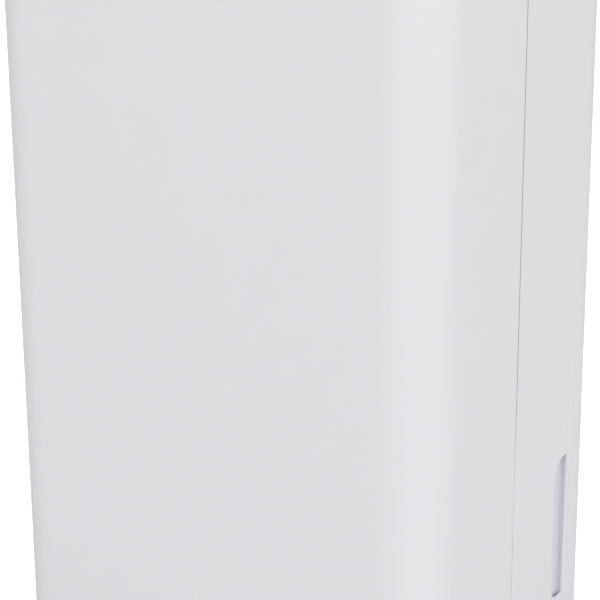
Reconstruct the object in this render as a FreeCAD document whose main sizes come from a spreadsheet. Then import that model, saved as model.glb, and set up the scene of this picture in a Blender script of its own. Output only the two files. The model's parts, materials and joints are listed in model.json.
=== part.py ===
"""Compressor dehumidifier on castors, with a drawer tank at the back, as a parametric FreeCAD document.

The frame is +X to the object's right as seen from the front, +Y to the back and +Z up. The origin is on the
floor under the middle of the cabinet. All sizes are millimetres and are kept in the spreadsheet "Sizes".
"""

import FreeCAD, Part
import Sketcher

import math
import os
import re

Vector = FreeCAD.Vector

SIZES = (
    # cabinet
    ("body_width", 350, "cabinet, side to side"),
    ("body_depth", 246, "cabinet, front to back"),
    ("body_height", 548, "floor to the top of the cover"),
    ("wall", 2.5, "moulded wall"),
    ("front_radius", 34, "front upright corners"),
    ("rear_radius", 30, "rear upright corners"),
    ("seam_depth", 117.5, "front face to the seam of the two shells"),
    ("edge_round", 0.5, "rounding of a moulding's open edge"),
    ("seam_gap", 0.7, "open line between two mouldings"),
    ("skirt_low", 20, "floor to the base skirt"),
    ("shell_low", 47, "floor to the shells' lower edge"),
    ("cover_drop", 38, "height of the top cover"),
    ("top_round", 14, "rounding of the cover's upper edge"),
    ("base_inset", 1, "skirt set back from the shells"),
    ("base_plate", 3, "base plate"),
    ("lip_height", 7, "base lip inside the shells"),
    ("fit_gap", 0.3, "clearance of a fixed fit"),
    ("slide_gap", 0.8, "clearance of a sliding or swinging fit"),
    ("turn_gap", 0.05, "radial clearance of a turning fit"),
    # tank bay and tank
    ("bay_wall_y", 4, "front face of the bay wall, from the middle"),
    ("sheet", 2.5, "bay wall and shelf"),
    ("shelf_low", 247, "underside of the shelf over the tank"),
    ("tank_low", 50, "underside of the tank panel"),
    ("tank_top", 244, "top of the tank panel"),
    ("flange_depth", 44, "tank panel's side flanges"),
    ("tank_inset", 10, "cabinet side to the bin's side"),
    ("tank_wall", 2, "bin's wall"),
    ("bin_low", 51, "underside of the bin"),
    ("bin_top", 230, "rim of the bin"),
    ("rim_width", 4, "bin's rim, outwards"),
    ("lid_thick", 2, "tank lid"),
    ("lid_hole_width", 64, "drip hole, side to side"),
    ("lid_hole_depth", 34, "drip hole, front to back"),
    ("notch_reach", 20.5, "finger notch, in front of the flange"),
    ("recess_depth", 5, "bin's finger pad behind the notch, from the cabinet's side"),
    ("notch_low", 66, "floor to the notch"),
    ("notch_top", 175, "floor to the notch's top"),
    ("notch_round_top", 17, "notch's upper corner"),
    ("notch_round_low", 12, "notch's lower corner"),
    ("float_x", -53, "float's pivot"),
    ("float_z", 204, "float's pivot"),
    ("float_pin", 1.5, "float's pin radius"),
    ("rail_width", 8, "runner under the tank"),
    ("rail_x", 100, "runner, from the middle"),
    # castors
    ("castor_x", 132, "castor stem, from the middle"),
    ("castor_y", 84, "castor stem, from the middle"),
    ("castor_trail", 8, "stem to axle"),
    ("wheel_radius", 12.5, "castor wheel"),
    ("wheel_width", 13, "castor wheel"),
    ("axle_radius", 2, "castor axle"),
    ("stem_radius", 4, "castor stem"),
    ("stem_length", 11, "castor stem above the crown"),
    ("crown_low", 27.5, "underside of the fork's crown"),
    ("crown_thick", 3, "fork's crown"),
    ("crown_radius", 11, "fork's crown"),
    ("cheek", 2.2, "fork's cheek"),
    ("cheek_depth", 12, "fork's cheek, front to back"),
    ("socket_radius", 9, "castor socket"),
    # top cover openings
    ("flap_front", -55, "outlet opening's front edge"),
    ("flap_rear", 19, "outlet opening's rear edge"),
    ("flap_half", 115, "outlet opening, half its width"),
    ("flap_thick", 2.8, "louver flap"),
    ("barrel_radius", 3.5, "flap's hinge barrel"),
    ("flap_pin", 2, "flap's pin radius"),
    ("flap_pin_length", 4, "flap's pin"),
    ("vane_drop", 24, "underside of the outlet vanes, below the top"),
    ("vane_height", 13, "outlet vanes"),
    ("vane_pitch", 8, "outlet vanes"),
    ("vane_slot", 6, "gap between two outlet vanes"),
    ("well_front", 27.5, "handle well's front edge"),
    ("well_rear", 97, "handle well's rear edge"),
    ("well_half", 86, "handle well, half its width"),
    ("well_depth", 22, "handle well's floor, below the top"),
    ("well_wall", 3, "handle well's wall"),
    ("panel_front", -105, "control fascia's front edge"),
    ("panel_rear", -63, "control fascia's rear edge"),
    ("panel_half", 95, "control fascia, half its width"),
    ("panel_thick", 2.2, "control fascia"),
    ("panel_drop", 2.8, "underside of the fascia, below the top"),
    ("panel_rim", 2.2, "ledge that carries the fascia"),
    ("window_half", 36, "display window, half its width"),
    ("window_front", -86, "display window's front edge"),
    ("window_rear", -68, "display window's rear edge"),
    ("button_radius", 6, "button cap"),
    ("button_y", -95, "row of buttons"),
    ("button_pitch", 28, "between two buttons"),
    ("button_travel", 0.8, "button stroke"),
    ("board_drop", 15, "underside of the control board, below the top"),
    ("board_thick", 1.6, "circuit boards"),
    ("switch_high", 4.4, "tact switch above its board"),
    # carrying handle
    ("handle_half", 82, "handle, half its width"),
    ("arm_width", 14, "handle's arm"),
    ("arm_thick", 11, "handle's arm and bar"),
    ("pivot_y", 34.5, "handle's pivot"),
    ("pivot_drop", 7.5, "handle's pivot, below the top"),
    ("pivot_radius", 3, "handle's pin"),
    ("bar_rear", 92, "handle's rear edge"),
    ("bar_depth", 16, "handle's bar, front to back"),
    # intake
    ("intake_half", 131, "intake opening, half its width"),
    ("intake_low", 276, "intake opening's lower edge"),
    ("intake_top", 490, "intake opening's upper edge"),
    ("grille_depth", 9, "intake grille, front to back"),
    ("grille_border", 10, "intake grille's border"),
    ("grille_mullion", 5, "intake grille's uprights"),
    ("slat_pitch", 8, "intake slats"),
    ("slat_slot", 5.2, "gap between two intake slats"),
    ("hinge_radius", 5, "grille's rounded lower edge"),
    ("hinge_pin", 2.5, "grille's pin radius"),
    ("hinge_pin_length", 5, "grille's pin"),
    ("filter_depth", 6, "filter frame, front to back"),
    ("filter_half", 122, "filter frame, half its width"),
    ("filter_low", 286, "filter frame's lower edge"),
    ("filter_top", 482, "filter frame's upper edge"),
    ("filter_border", 7, "filter frame's border"),
    # coils and their housing
    ("coilbox_half", 120, "coil housing, half its width"),
    ("coilbox_low", 249.5, "coil housing's underside"),
    ("coilbox_top", 486, "coil housing's top"),
    ("coilbox_front", 14, "coil housing's front edge"),
    ("coilbox_rear", 102, "coil housing's rear edge"),
    ("coil_half", 96, "coil's fins, half their width"),
    ("coil_low", 274, "coil's lower edge"),
    ("coil_rows", 8, "tube passes in a coil"),
    ("coil_pitch", 25, "between two passes"),
    ("coil_depth", 22, "coil, front to back"),
    ("coil_tube", 3.5, "coil tube's radius"),
    ("fin_thick", 0.5, "coil fin"),
    ("fin_pitch", 4, "between two fins"),
    ("condenser_y", 48, "condenser's middle"),
    ("evaporator_y", 80, "evaporator's middle"),
    ("tray_low", 251.5, "drip tray's underside"),
    ("tray_high", 270, "drip tray's rim"),
    ("tray_spout", 6, "drip spout's radius"),
    ("spout_low", 237, "drip spout's end"),
    ("spout_y", 62, "drip spout"),
    # fan
    ("fan_z", 372, "fan's axis"),
    ("scroll_front", -50, "scroll's front plate"),
    ("scroll_rear", 14, "scroll's rear plate"),
    ("scroll_tight", 92, "scroll's radius at the tongue"),
    ("scroll_wide", 112, "scroll's radius at the outlet"),
    ("scroll_gap", 2, "scroll's mouth, below the top cover's edge"),
    ("wheel_fan_radius", 80, "fan wheel"),
    ("wheel_fan_front", -42, "fan wheel's disc"),
    ("wheel_fan_rear", 6, "fan wheel's ring"),
    ("blade_count", 36, "fan blades"),
    ("blade_depth", 16, "blade, along the radius"),
    ("blade_thick", 1.2, "fan blade"),
    ("shaft_radius", 4, "motor shaft"),
    ("motor_radius", 42, "fan motor"),
    ("motor_front", -106, "fan motor's front end"),
    # compressor
    ("compressor_x", -78, "compressor's axis"),
    ("compressor_y", -58, "compressor's axis"),
    ("compressor_radius", 50, "compressor's shell"),
    ("compressor_low", 62, "compressor's shell, lowest"),
    ("compressor_high", 228, "compressor's shell, highest"),
    ("foot_circle", 58, "compressor's feet, from its axis"),
    ("foot_low", 58, "compressor's foot plate"),
    ("foot_thick", 3, "compressor's foot plate"),
    ("grommet_radius", 9, "rubber grommet"),
    ("stud_radius", 3, "compressor's stud"),
    ("accumulator_x", -4, "accumulator's axis"),
    ("accumulator_y", -70, "accumulator's axis"),
    ("accumulator_radius", 19, "accumulator"),
    ("pipe_radius", 4, "copper pipe"),
    ("capillary_radius", 1.4, "capillary tube"),
    ("pipe_bend", 10, "copper pipe's bends"),
    ("riser_x", -148, "discharge pipe's riser"),
    ("riser_y", 26, "discharge pipe's riser"),
    ("discharge_z", 262, "discharge pipe's run over the compressor"),
    ("drop_x", -140, "suction pipe's way down"),
    ("drop_y", -66, "suction pipe's way down"),
    ("suction_high", 496, "suction pipe's upper run"),
    ("suction_low", 300, "suction pipe's lower run"),
    ("drier_x", -162, "filter drier's axis"),
    ("drier_low", 334, "filter drier's can"),
    ("capillary_high", 424, "capillary tube's turn"),
    # electrics
    ("box_left", 60, "electrics box"),
    ("box_right", 156, "electrics box"),
    ("box_front", -114, "electrics box"),
    ("box_rear", -38, "electrics box"),
    ("box_low", 47, "electrics box"),
    ("box_high", 230, "electrics box"),
    # rear fittings
    ("port_x", 132, "drain port and cord gland, from the middle"),
    ("port_z", 260.5, "drain port and cord gland"),
    ("cup_radius", 11.5, "recess round a port"),
    ("cup_floor", 106, "bottom of the recess"),
    ("spigot_radius", 6, "drain spigot, outside"),
    ("spigot_bore", 4, "drain spigot, inside"),
    ("spigot_tip", 119.5, "end of the drain spigot"),
    ("gland_radius", 8, "cord gland"),
    ("cord_bore", 3.7, "cord gland's hole"),
    ("screw_radius", 2, "case screw"),
    ("screw_head", 3.8, "case screw's head"),
    ("screw_boss", 5.5, "boss round a case screw"),
    ("screw_seat", 119.8, "under the screw's head"),
    ("screw_low_x", 96, "lower case screws"),
    ("screw_low_z", 260, "lower case screws"),
    ("screw_high_x", 112, "upper case screws"),
    ("screw_high_z", 499, "upper case screws"),
)

# Places worked out from the sizes, each written once.
PLACES = {
    "side": "body_width / 2",
    "front": "-body_depth / 2",
    "rear": "body_depth / 2",
    "seam": "seam_depth - body_depth / 2",
    "cover_low": "body_height - cover_drop",
    "inner_side": "body_width / 2 - wall",
    "inner_front": "wall - body_depth / 2",
    "inner_rear": "body_depth / 2 - wall",
    "flange_y": "body_depth / 2 - flange_depth",
    "notch_y": "body_depth / 2 - flange_depth - notch_reach",
    "bin_side": "body_width / 2 - tank_inset",
    "bin_front": "bay_wall_y + sheet + 3",
    "lid_top": "bin_top + lid_thick",
    "vane_low": "body_height - vane_drop",
    "vane_high": "body_height - vane_drop + vane_height",
    "well_floor": "body_height - well_depth",
    "panel_low": "body_height - panel_drop",
    "board_low": "body_height - board_drop",
    "pivot_z": "body_height - pivot_drop",
    "scroll_top": "body_height - cover_drop - scroll_gap",
    "plate_low": "shell_low - base_plate",
    "lip_side": "body_width / 2 - wall - fit_gap",
    "lip_front": "wall + fit_gap - body_depth / 2",
    "ceiling": "body_height - wall",
    "flap_axis_y": "flap_rear - barrel_radius - 1",
    "flap_axis_z": "body_height - barrel_radius",
    "collar_low": "scroll_top + seam_gap",
    "grille_rear": "body_depth / 2",
    "grille_front": "body_depth / 2 - grille_depth",
    "grille_half": "intake_half - slide_gap",
    "grille_low": "intake_low + slide_gap",
    "grille_top": "intake_top - slide_gap",
    "hinge_y": "body_depth / 2 - hinge_radius",
    "hinge_z": "intake_low + slide_gap + hinge_radius",
    "filter_rear": "body_depth / 2 - grille_depth - 1",
    "filter_front": "body_depth / 2 - grille_depth - 1 - filter_depth",
    "crown_top": "crown_low + crown_thick",
    "cheek_inner": "wheel_width / 2 + 0.5",
    "pass_low": "coil_low + coil_pitch / 2",
    "pass_high": "coil_low + coil_pitch * (coil_rows - 0.5)",
    "key_top": "panel_low + panel_thick + 0.3",
    "button_low": "board_low + board_thick + switch_high + 0.1 + button_travel",
}

doc = FreeCAD.newDocument("dehumidifier")
sheet = doc.addObject("Spreadsheet::Sheet", "Sizes")
for row, (alias, value, note) in enumerate(SIZES, start=1):
    sheet.set(f"A{row}", alias)
    sheet.set(f"B{row}", str(value))
    sheet.set(f"C{row}", note)
    sheet.setAlias(f"B{row}", alias)
doc.recompute()
ALIASES = {alias for alias, _, _ in SIZES}
PIECES = []
ROTATION = {
    "x": FreeCAD.Rotation(Vector(0, 1, 0), 90),
    "y": FreeCAD.Rotation(Vector(1, 0, 0), -90),
    "z": FreeCAD.Rotation(),
}


def expand(text):
    """The FreeCAD expression for a text that names sizes and places."""

    def swap(match):
        word = match.group(0)
        if word in ALIASES:
            return "Sizes." + word
        return "(" + expand(PLACES[word]) + ")" if word in PLACES else word

    return re.sub(r"[a-z_]+", swap, str(text))


def number(text):
    """The value of an expression on the sheet, in millimetres."""
    return float(sheet.evalExpression(expand(text).replace("Sizes.", "")))


def bind(thing, **expressions):
    """Binds properties to expressions; a double underscore in a name stands for a dot."""
    for name, text in expressions.items():
        thing.setExpression(name.replace("__", "."), expand(text))
    return thing


def keep(label, thing):
    """Marks an object as a sub-part and gives it its name."""
    thing.Label = label
    PIECES.append(thing)
    return thing


# ---------------------------------------------------------------- Part primitives and booleans
def box(x, y, z):
    """A Part::Box over three pairs of expressions."""
    solid = doc.addObject("Part::Box", "Block")
    for axis, edge, (low, high) in (("x", "Length", x), ("y", "Width", y), ("z", "Height", z)):
        bind(solid, **{edge: f"({high}) - ({low})", "Placement__Base__" + axis: low})
    return solid


def rod(radius, length, at, along="z"):
    """A Part::Cylinder that starts at a point and runs along an axis."""
    solid = doc.addObject("Part::Cylinder", "Rod")
    solid.Placement = FreeCAD.Placement(Vector(), ROTATION[along])
    bind(solid, Radius=radius, Height=length)
    for axis, text in zip("xyz", at):
        bind(solid, **{"Placement__Base__" + axis: text})
    return solid


def join(*solids):
    """One solid from several that overlap or touch."""
    union = doc.addObject("Part::MultiFuse", "Join")
    union.Shapes = list(solids)
    union.Refine = True
    return union


def cut(base, *tools):
    """The base without the tools."""
    rest = doc.addObject("Part::Cut", "Cut")
    rest.Base = base
    rest.Tool = tools[0] if len(tools) == 1 else join(*tools)
    return rest


def group(*solids):
    """Separate solids in one sub-part."""
    together = doc.addObject("Part::Compound", "Group")
    together.Links = list(solids)
    return together


def place(thing, x="0", y="0", z="0"):
    """Moves a finished object by three expressions."""
    return bind(thing, Placement__Base__x=x, Placement__Base__y=y, Placement__Base__z=z)


def shaped(label, shape):
    """A Part::Feature for a form that neither sketches nor primitives give."""
    thing = doc.addObject("Part::Feature", "Form")
    thing.Shape = shape
    thing.Placement = FreeCAD.Placement()
    return keep(label, thing)


# ---------------------------------------------------------------- PartDesign bodies
def rect(x, y, low=None, high=None):
    """A rectangle over two pairs of expressions, with radii for the corners at low and high y."""
    return ("rect", x, y, low, high)


def disc(x, y, radius):
    """A circle, for a sketch."""
    return ("disc", x, y, radius)


class Moulding:
    """A PartDesign body built feature by feature from sketches on its own origin planes.

    Planes are XY, XZ and YZ. A pad or pocket is given by where it starts and ends along the plane's normal,
    in the object's frame, and its outlines by the frame's other two axes in the plane's name.
    """

    def __init__(self, label):
        self.body = keep(label, doc.addObject("PartDesign::Body", "Body"))
        self.last = None

    def sketch(self, plane, level, outlines):
        """A fully constrained sketch at a level, its sizes bound to the sheet."""
        drawing = self.body.newObject("Sketcher::SketchObject", "Sketch")
        origin = [f for f in self.body.Origin.OriginFeatures if f.Role == plane + "_Plane"][0]
        drawing.AttachmentSupport = [(origin, "")]
        drawing.MapMode = "FlatFace"
        bind(drawing, AttachmentOffset__Base__z=f"-({level})" if plane == "XZ" else level)
        for outline in outlines:
            if outline[0] == "rect":
                self.draw_rect(drawing, *outline[1:])
            else:
                self.draw_disc(drawing, *outline[1:])
        return drawing

    @staticmethod
    def locate(drawing, geometry, point, kind, text):
        """Fixes one coordinate of a point, from the sketch's origin."""
        index = drawing.addConstraint(
            Sketcher.Constraint(kind, -1, 1, geometry, point, number(text))
        )
        drawing.setExpression(f"Constraints[{index}]", expand(text))

    def draw_rect(self, drawing, x, y, low, high):
        """Four lines, joined at sharp corners or by tangent arcs, each held from the origin."""
        sides = (number(x[0]), number(x[1]), number(y[0]), number(y[1]))
        radii = [number(r) if r else 0.0 for r in (low, low, high, high)]
        corners = [Vector(sides[i], sides[j]) for i, j in ((0, 2), (1, 2), (1, 3), (0, 3))]
        ways = [(corners[(k + 1) % 4] - corners[k]).normalize() for k in range(4)]
        first = drawing.GeometryCount
        for k in range(4):
            start = corners[k] + ways[k] * radii[k]
            end = corners[(k + 1) % 4] - ways[k] * radii[(k + 1) % 4]
            drawing.addGeometry(Part.LineSegment(start, end), False)
            drawing.addConstraint(Sketcher.Constraint("Vertical" if k % 2 else "Horizontal", first + k))
        for k in range(4):
            before, after = first + (k + 3) % 4, first + k
            if not radii[k]:
                drawing.addConstraint(Sketcher.Constraint("Coincident", before, 2, after, 1))
                continue
            centre = corners[k] + (ways[k] - ways[k - 1]) * radii[k]
            turn = math.atan2(-ways[k].y, -ways[k].x)
            circle = Part.Circle(centre, Vector(0, 0, 1), radii[k])
            arc = drawing.addGeometry(Part.ArcOfCircle(circle, turn, turn + math.pi / 2), False)
            drawing.addConstraint(Sketcher.Constraint("Tangent", before, 2, arc, 1))
            drawing.addConstraint(Sketcher.Constraint("Tangent", arc, 2, after, 1))
            index = drawing.addConstraint(Sketcher.Constraint("Radius", arc, radii[k]))
            drawing.setExpression(f"Constraints[{index}]", expand((low, low, high, high)[k]))
        for line, kind, text in rectangle_limits(x, y):
            self.locate(drawing, first + line, 1, kind, text)

    def draw_disc(self, drawing, x, y, radius):
        """A circle, constrained at its centre."""
        circle = drawing.addGeometry(
            Part.Circle(Vector(number(x), number(y)), Vector(0, 0, 1), number(radius)), False
        )
        self.locate(drawing, circle, 3, "DistanceX", x)
        self.locate(drawing, circle, 3, "DistanceY", y)
        index = drawing.addConstraint(Sketcher.Constraint("Radius", circle, number(radius)))
        drawing.setExpression(f"Constraints[{index}]", expand(radius))

    def feature(self, kind, plane, span, outlines, at_high):
        """A pad or pocket between two levels."""
        low, high = span
        made = self.body.newObject("PartDesign::" + kind, kind)
        made.Profile = self.sketch(plane, high if at_high else low, outlines)
        bind(made, Length=f"({high}) - ({low})")
        doc.recompute()
        self.last = made
        return self

    def pad(self, plane, span, *outlines):
        """Material between two levels."""
        return self.feature("Pad", plane, span, outlines, plane == "XZ")

    def pocket(self, plane, span, *outlines):
        """A cut between two levels."""
        before = self.last.Shape.Volume
        self.feature("Pocket", plane, span, outlines, plane != "XZ")
        if self.last.Shape.Volume > before - 1e-3:
            raise ValueError(f"{self.body.Label}: a pocket on {plane} at {span} cuts nothing")
        return self

    def round(self, radius, *picks, kind="Fillet"):
        """A fillet, or a chamfer, on the edges that any of the picks choose."""
        names = [
            f"Edge{n}"
            for n, edge in enumerate(self.last.Shape.Edges, start=1)
            if any(pick(edge) for pick in picks)
        ]
        if not names:
            raise ValueError(f"{self.body.Label}: no edge to round by {radius}")
        made = self.body.newObject("PartDesign::" + kind, kind)
        made.Base = (self.last, names)
        bind(made, **{"Radius" if kind == "Fillet" else "Size": radius})
        doc.recompute()
        self.last = made
        return self

    def repeat(self, axis, pitch, count):
        """The last feature again, count times in all, along an axis of the body."""
        seed = self.last
        row = self.body.newObject("PartDesign::LinearPattern", "Row")
        row.Originals = [seed]
        line = [f for f in self.body.Origin.OriginFeatures if f.Role == axis + "_Axis"][0]
        row.Direction = (line, [""])
        bind(row, Length=f"({pitch}) * (({count}) - 1)", Occurrences=count)
        self.body.Tip = row
        doc.recompute()
        self.last = row
        return self


def rectangle_limits(x, y):
    """Which line of a rectangle each of its four limits holds."""
    return ((0, "DistanceY", y[0]), (1, "DistanceX", x[1]), (2, "DistanceY", y[1]), (3, "DistanceX", x[0]))


def along(axis, **at):
    """Picks straight edges along an axis, at given coordinates; x is matched on both sides of the middle."""
    wanted = {name: number(text) for name, text in at.items()}

    def pick(edge):
        size = edge.BoundBox
        lengths = {"x": size.XLength, "y": size.YLength, "z": size.ZLength}
        if any(length > 1e-4 for name, length in lengths.items() if name != axis) or lengths[axis] < 1e-4:
            return False
        centre = {"x": abs(size.Center.x), "y": size.Center.y, "z": size.Center.z}
        return all(abs(centre[name] - (abs(v) if name == "x" else v)) < 1e-3 for name, v in wanted.items())

    return pick


def level(z):
    """Picks every edge that lies flat at a height."""
    height = number(z)

    def pick(edge):
        return abs(edge.BoundBox.ZMin - height) < 1e-3 and abs(edge.BoundBox.ZMax - height) < 1e-3

    return pick


def both(text):
    """The pair from minus to plus an expression."""
    return (f"-({text})", text)


def sorted_pair(a, b):
    """The two expressions, the lower one first."""
    return (a, b) if number(a) < number(b) else (b, a)


# ---------------------------------------------------------------- cabinet
def front_cover():
    """The U-shaped front shell, from the base to the top cover and back to the seam."""
    shell = Moulding("front_cover")
    span = ("shell_low", "cover_low")
    shell.pad("XY", span, rect(both("side"), ("front", "seam"), low="front_radius"))
    shell.pocket(
        "XY", span, rect(both("inner_side"), ("inner_front", "seam + 1"), low="front_radius - wall")
    )
    shell.round("seam_gap", level("cover_low"), kind="Chamfer")
    tongue = ("shell_low + lip_height + 1", "cover_low - 1")
    for outer, depth in (
        ("inner_side + 0.5", ("seam - 10", "seam - 2")), ("inner_side - 1.2", ("seam - 3", "seam + 4"))
    ):
        shell.pad("XY", tongue, *[
            rect(sorted_pair(f"{s} * (inner_side - 2.5)", f"{s} * ({outer})"), depth) for s in (-1, 1)
        ])
    for x in ("-60", "0", "60"):
        shell.pad(
            "XY",
            ("shell_low + lip_height + 3", "cover_low - 12"),
            rect((f"{x} - 0.8", f"{x} + 0.8"), ("inner_front", "inner_front + 4")),
        )
    shell.round("edge_round", along("z", x="side", y="seam"))


def rear_cover():
    """The rear shell: both sides behind the seam and the back, open for the tank and the intake."""
    shell = Moulding("rear_cover")
    span = ("shell_low", "cover_low")
    start = "seam + seam_gap"
    shell.pad("XY", span, rect(both("side"), (start, "rear"), high="rear_radius"))
    shell.pocket(
        "XY", span, rect(both("inner_side"), (f"{start} - 1", "inner_rear"), high="rear_radius - wall")
    )
    shell.round("seam_gap", level("cover_low"), kind="Chamfer")
    for s in (-1, 1):
        boss_x = sorted_pair(
            f"{s} * (intake_half + 0.5)", f"{s} * (intake_half + 0.5 + hinge_pin_length + 1)"
        )
        shell.pad("XZ", ("grille_front", "inner_rear"), rect(boss_x, ("intake_low - 1", "hinge_z + 6")))
        shell.pad(
            "XZ", ("cup_floor - wall", "inner_rear"), disc(f"{s} * port_x", "port_z", "cup_radius + 2")
        )
        for x, z in (("screw_low_x", "screw_low_z"), ("screw_high_x", "screw_high_z")):
            shell.pad("XZ", ("screw_seat - 5", "inner_rear"), disc(f"{s} * {x}", z, "screw_boss + 0.6"))
    shell.pocket("XZ", ("inner_rear - 1", "rear"), rect(both("intake_half"), ("intake_low", "intake_top")))
    for s in (-1, 1):
        shell.pocket("XZ", ("cup_floor", "rear"), disc(f"{s} * port_x", "port_z", "cup_radius"))
        for x, z in (("screw_low_x", "screw_low_z"), ("screw_high_x", "screw_high_z")):
            shell.pocket("XZ", ("screw_seat", "rear"), disc(f"{s} * {x}", z, "screw_head + 0.3"))
            shell.pocket(
                "XZ", ("screw_seat - 6", "screw_seat + 1"), disc(f"{s} * {x}", z, "screw_radius + 0.2")
            )
    shell.pocket("XZ", ("cup_floor - 4", "cup_floor + 1"), disc("port_x", "port_z", "spigot_radius - 0.5"))
    shell.pocket("XZ", ("cup_floor - 4", "cup_floor + 1"), disc("-port_x", "port_z", "gland_radius - 2"))
    shell.pocket(
        "YZ", both("intake_half + hinge_pin_length + 1"), disc("hinge_y", "hinge_z", "hinge_pin + turn_gap")
    )
    shell.pocket(
        "XY",
        ("shell_low - 1", "tank_top + fit_gap"),
        rect(both("side + 1"), ("flange_y - 0.5", "rear + 1")),
    )
    shell.pocket("YZ", both("side + 1"), rect(("notch_y", "flange_y"), ("notch_low", "notch_top")))
    shell.round("notch_round_top", along("x", y="notch_y", z="notch_top"))
    shell.round("notch_round_low", along("x", y="notch_y", z="notch_low"))
    shell.round("edge_round", along("z", x="side", y=start))


def top_cover():
    """The top moulding, with the outlet collar, the handle's well and the ledge of the control fascia."""
    cover = Moulding("top_cover")
    corners = {"low": "front_radius", "high": "rear_radius"}
    cover.pad("XY", ("cover_low", "body_height"), rect(both("side"), ("front", "rear"), **corners))
    cover.round("top_round", level("body_height"))
    inner = {side: radius + " - wall" for side, radius in corners.items()}
    span = ("cover_low", "ceiling - top_round")
    cover.pocket("XY", span, rect(both("inner_side"), ("inner_front", "inner_rear"), **inner))
    raised = {side: radius + " - 7" for side, radius in inner.items()}
    span = ("ceiling - top_round - 1", "ceiling")
    cover.pocket("XY", span, rect(both("inner_side - 7"), ("inner_front + 7", "inner_rear - 7"), **raised))
    collar = rect(both("flap_half + wall"), ("flap_front - wall", "flap_rear + wall"))
    well = rect(both("well_half + well_wall"), ("well_front - well_wall", "well_rear + well_wall"))
    ledge = rect(both("panel_half + 3"), ("panel_front - 3", "panel_rear + 3"))
    cover.pad("XY", ("collar_low", "ceiling"), collar)
    cover.pad("XY", ("well_floor - well_wall", "ceiling"), well)
    cover.pad("XY", ("panel_low - 3.5", "ceiling"), ledge)
    cover.pocket(
        "XY", ("collar_low - 1", "body_height"), rect(both("flap_half"), ("flap_front", "flap_rear"))
    )
    cover.pocket("XY", ("well_floor", "body_height"), rect(both("well_half"), ("well_front", "well_rear")))
    cover.round("4", along("z", x="well_half", y="well_front"), along("z", x="well_half", y="well_rear"))
    cover.pocket(
        "XY",
        ("panel_low", "body_height"),
        rect(both("panel_half + fit_gap"), ("panel_front - fit_gap", "panel_rear + fit_gap")),
    )
    cover.round(
        "6",
        along("z", x="panel_half + fit_gap", y="panel_front - fit_gap"),
        along("z", x="panel_half + fit_gap", y="panel_rear + fit_gap"),
    )
    cover.pocket(
        "XY",
        ("panel_low - 4", "panel_low + 0.1"),
        rect(both("panel_half - panel_rim"), ("panel_front + panel_rim", "panel_rear - panel_rim")),
    )
    cover.pocket(
        "YZ",
        both("flap_half + flap_pin_length + 1"),
        disc("flap_axis_y", "flap_axis_z", "flap_pin + turn_gap"),
    )
    cover.pocket("YZ", both("well_half + well_wall + 0.1"), disc("pivot_y", "pivot_z", "pivot_radius"))


def base_pan():
    """The base: skirt, plate, lip for the shells, castor sockets and the tank's runners."""
    base = Moulding("base_pan")
    for inset, add, low in (
        ("base_inset", base.pad, "shell_low"), ("(base_inset + 3)", base.pocket, "plate_low")
    ):
        outline = rect(both(f"side - {inset}"), (f"front + {inset}", f"rear - {inset}"),
                       low=f"front_radius - {inset}", high=f"rear_radius - {inset}")
        add("XY", ("skirt_low", low), outline)
    base.round("1", level("skirt_low"))
    for s in (-1, 1):
        for t in (-1, 1):
            base.pad(
                "XY",
                ("crown_top + 0.5", "plate_low"),
                disc(f"{s} * castor_x", f"{t} * castor_y", "socket_radius"),
            )
            base.pocket(
                "XY",
                ("crown_top - 1", "crown_top + stem_length + 1"),
                disc(f"{s} * castor_x", f"{t} * castor_y", "stem_radius + turn_gap"),
            )
    base.pad(
        "XY",
        ("shell_low", "shell_low + lip_height"),
        *[
            rect(
                sorted_pair(f"{s} * lip_side", f"{s} * (lip_side - 2)"),
                ("lip_front + front_radius", "bay_wall_y - 4"),
            )
            for s in (-1, 1)
        ],
        rect(both("side - front_radius"), ("lip_front", "lip_front + 2")),
    )
    base.pad(
        "XY",
        ("shell_low", "bin_low - fit_gap"),
        *[
            rect(
                (f"{s} * rail_x - rail_width / 2", f"{s} * rail_x + rail_width / 2"),
                ("bin_front + 2", "inner_rear - 6"),
            )
            for s in (-1, 1)
        ],
    )
    base.pocket(
        "XY",
        ("plate_low - 1", "shell_low + 1"),
        *[
            disc(
                f"compressor_x + foot_circle * cos({a})",
                f"compressor_y + foot_circle * sin({a})",
                "stud_radius",
            )
            for a in (0, 120, 240)
        ],
    )


def bulkhead():
    """The tank bay's front wall and the shelf over the tank, in one sheet."""
    sheet_part = Moulding("bay_wall")
    across = both("inner_side - fit_gap")
    sheet_part.pad(
        "YZ", across, rect(("bay_wall_y", "bay_wall_y + sheet"), ("shell_low", "shelf_low + sheet"))
    )
    sheet_part.pad(
        "YZ", across, rect(("bay_wall_y + sheet", "rear - rear_radius"), ("shelf_low", "shelf_low + sheet"))
    )
    sheet_part.pocket(
        "XY", ("shelf_low - 1", "shelf_low + sheet + 1"), disc("0", "spout_y", "tray_spout + 2")
    )
    sheet_part.pad(
        "XZ",
        ("bay_wall_y - 8", "bay_wall_y"),
        *[
            rect((f"{x} - 1.2", f"{x} + 1.2"), ("shell_low", "shelf_low - 30"))
            for x in ("-150", "30", "166")
        ],
    )


def case_screws():
    """Pan-head screws that hold the rear cover to the coil housing."""
    screws = []
    for s in (-1, 1):
        for x, z in (("screw_low_x", "screw_low_z"), ("screw_high_x", "screw_high_z")):
            at = (f"{s} * {x}", "screw_seat", z)
            head = rod("screw_head", "2.4", at, "y")
            shank = rod("screw_radius", "16", (at[0], "screw_seat - 16", z), "y")
            slots = [
                box(
                    (f"{at[0]} - {a}", f"{at[0]} + {a}"),
                    ("screw_seat + 1.2", "screw_seat + 3"),
                    (f"{z} - {b}", f"{z} + {b}"),
                )
                for a, b in ((2.2, 0.45), (0.45, 2.2))
            ]
            screws.append(cut(join(head, shank), *slots))
    keep("case_screws", group(*screws))


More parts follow.
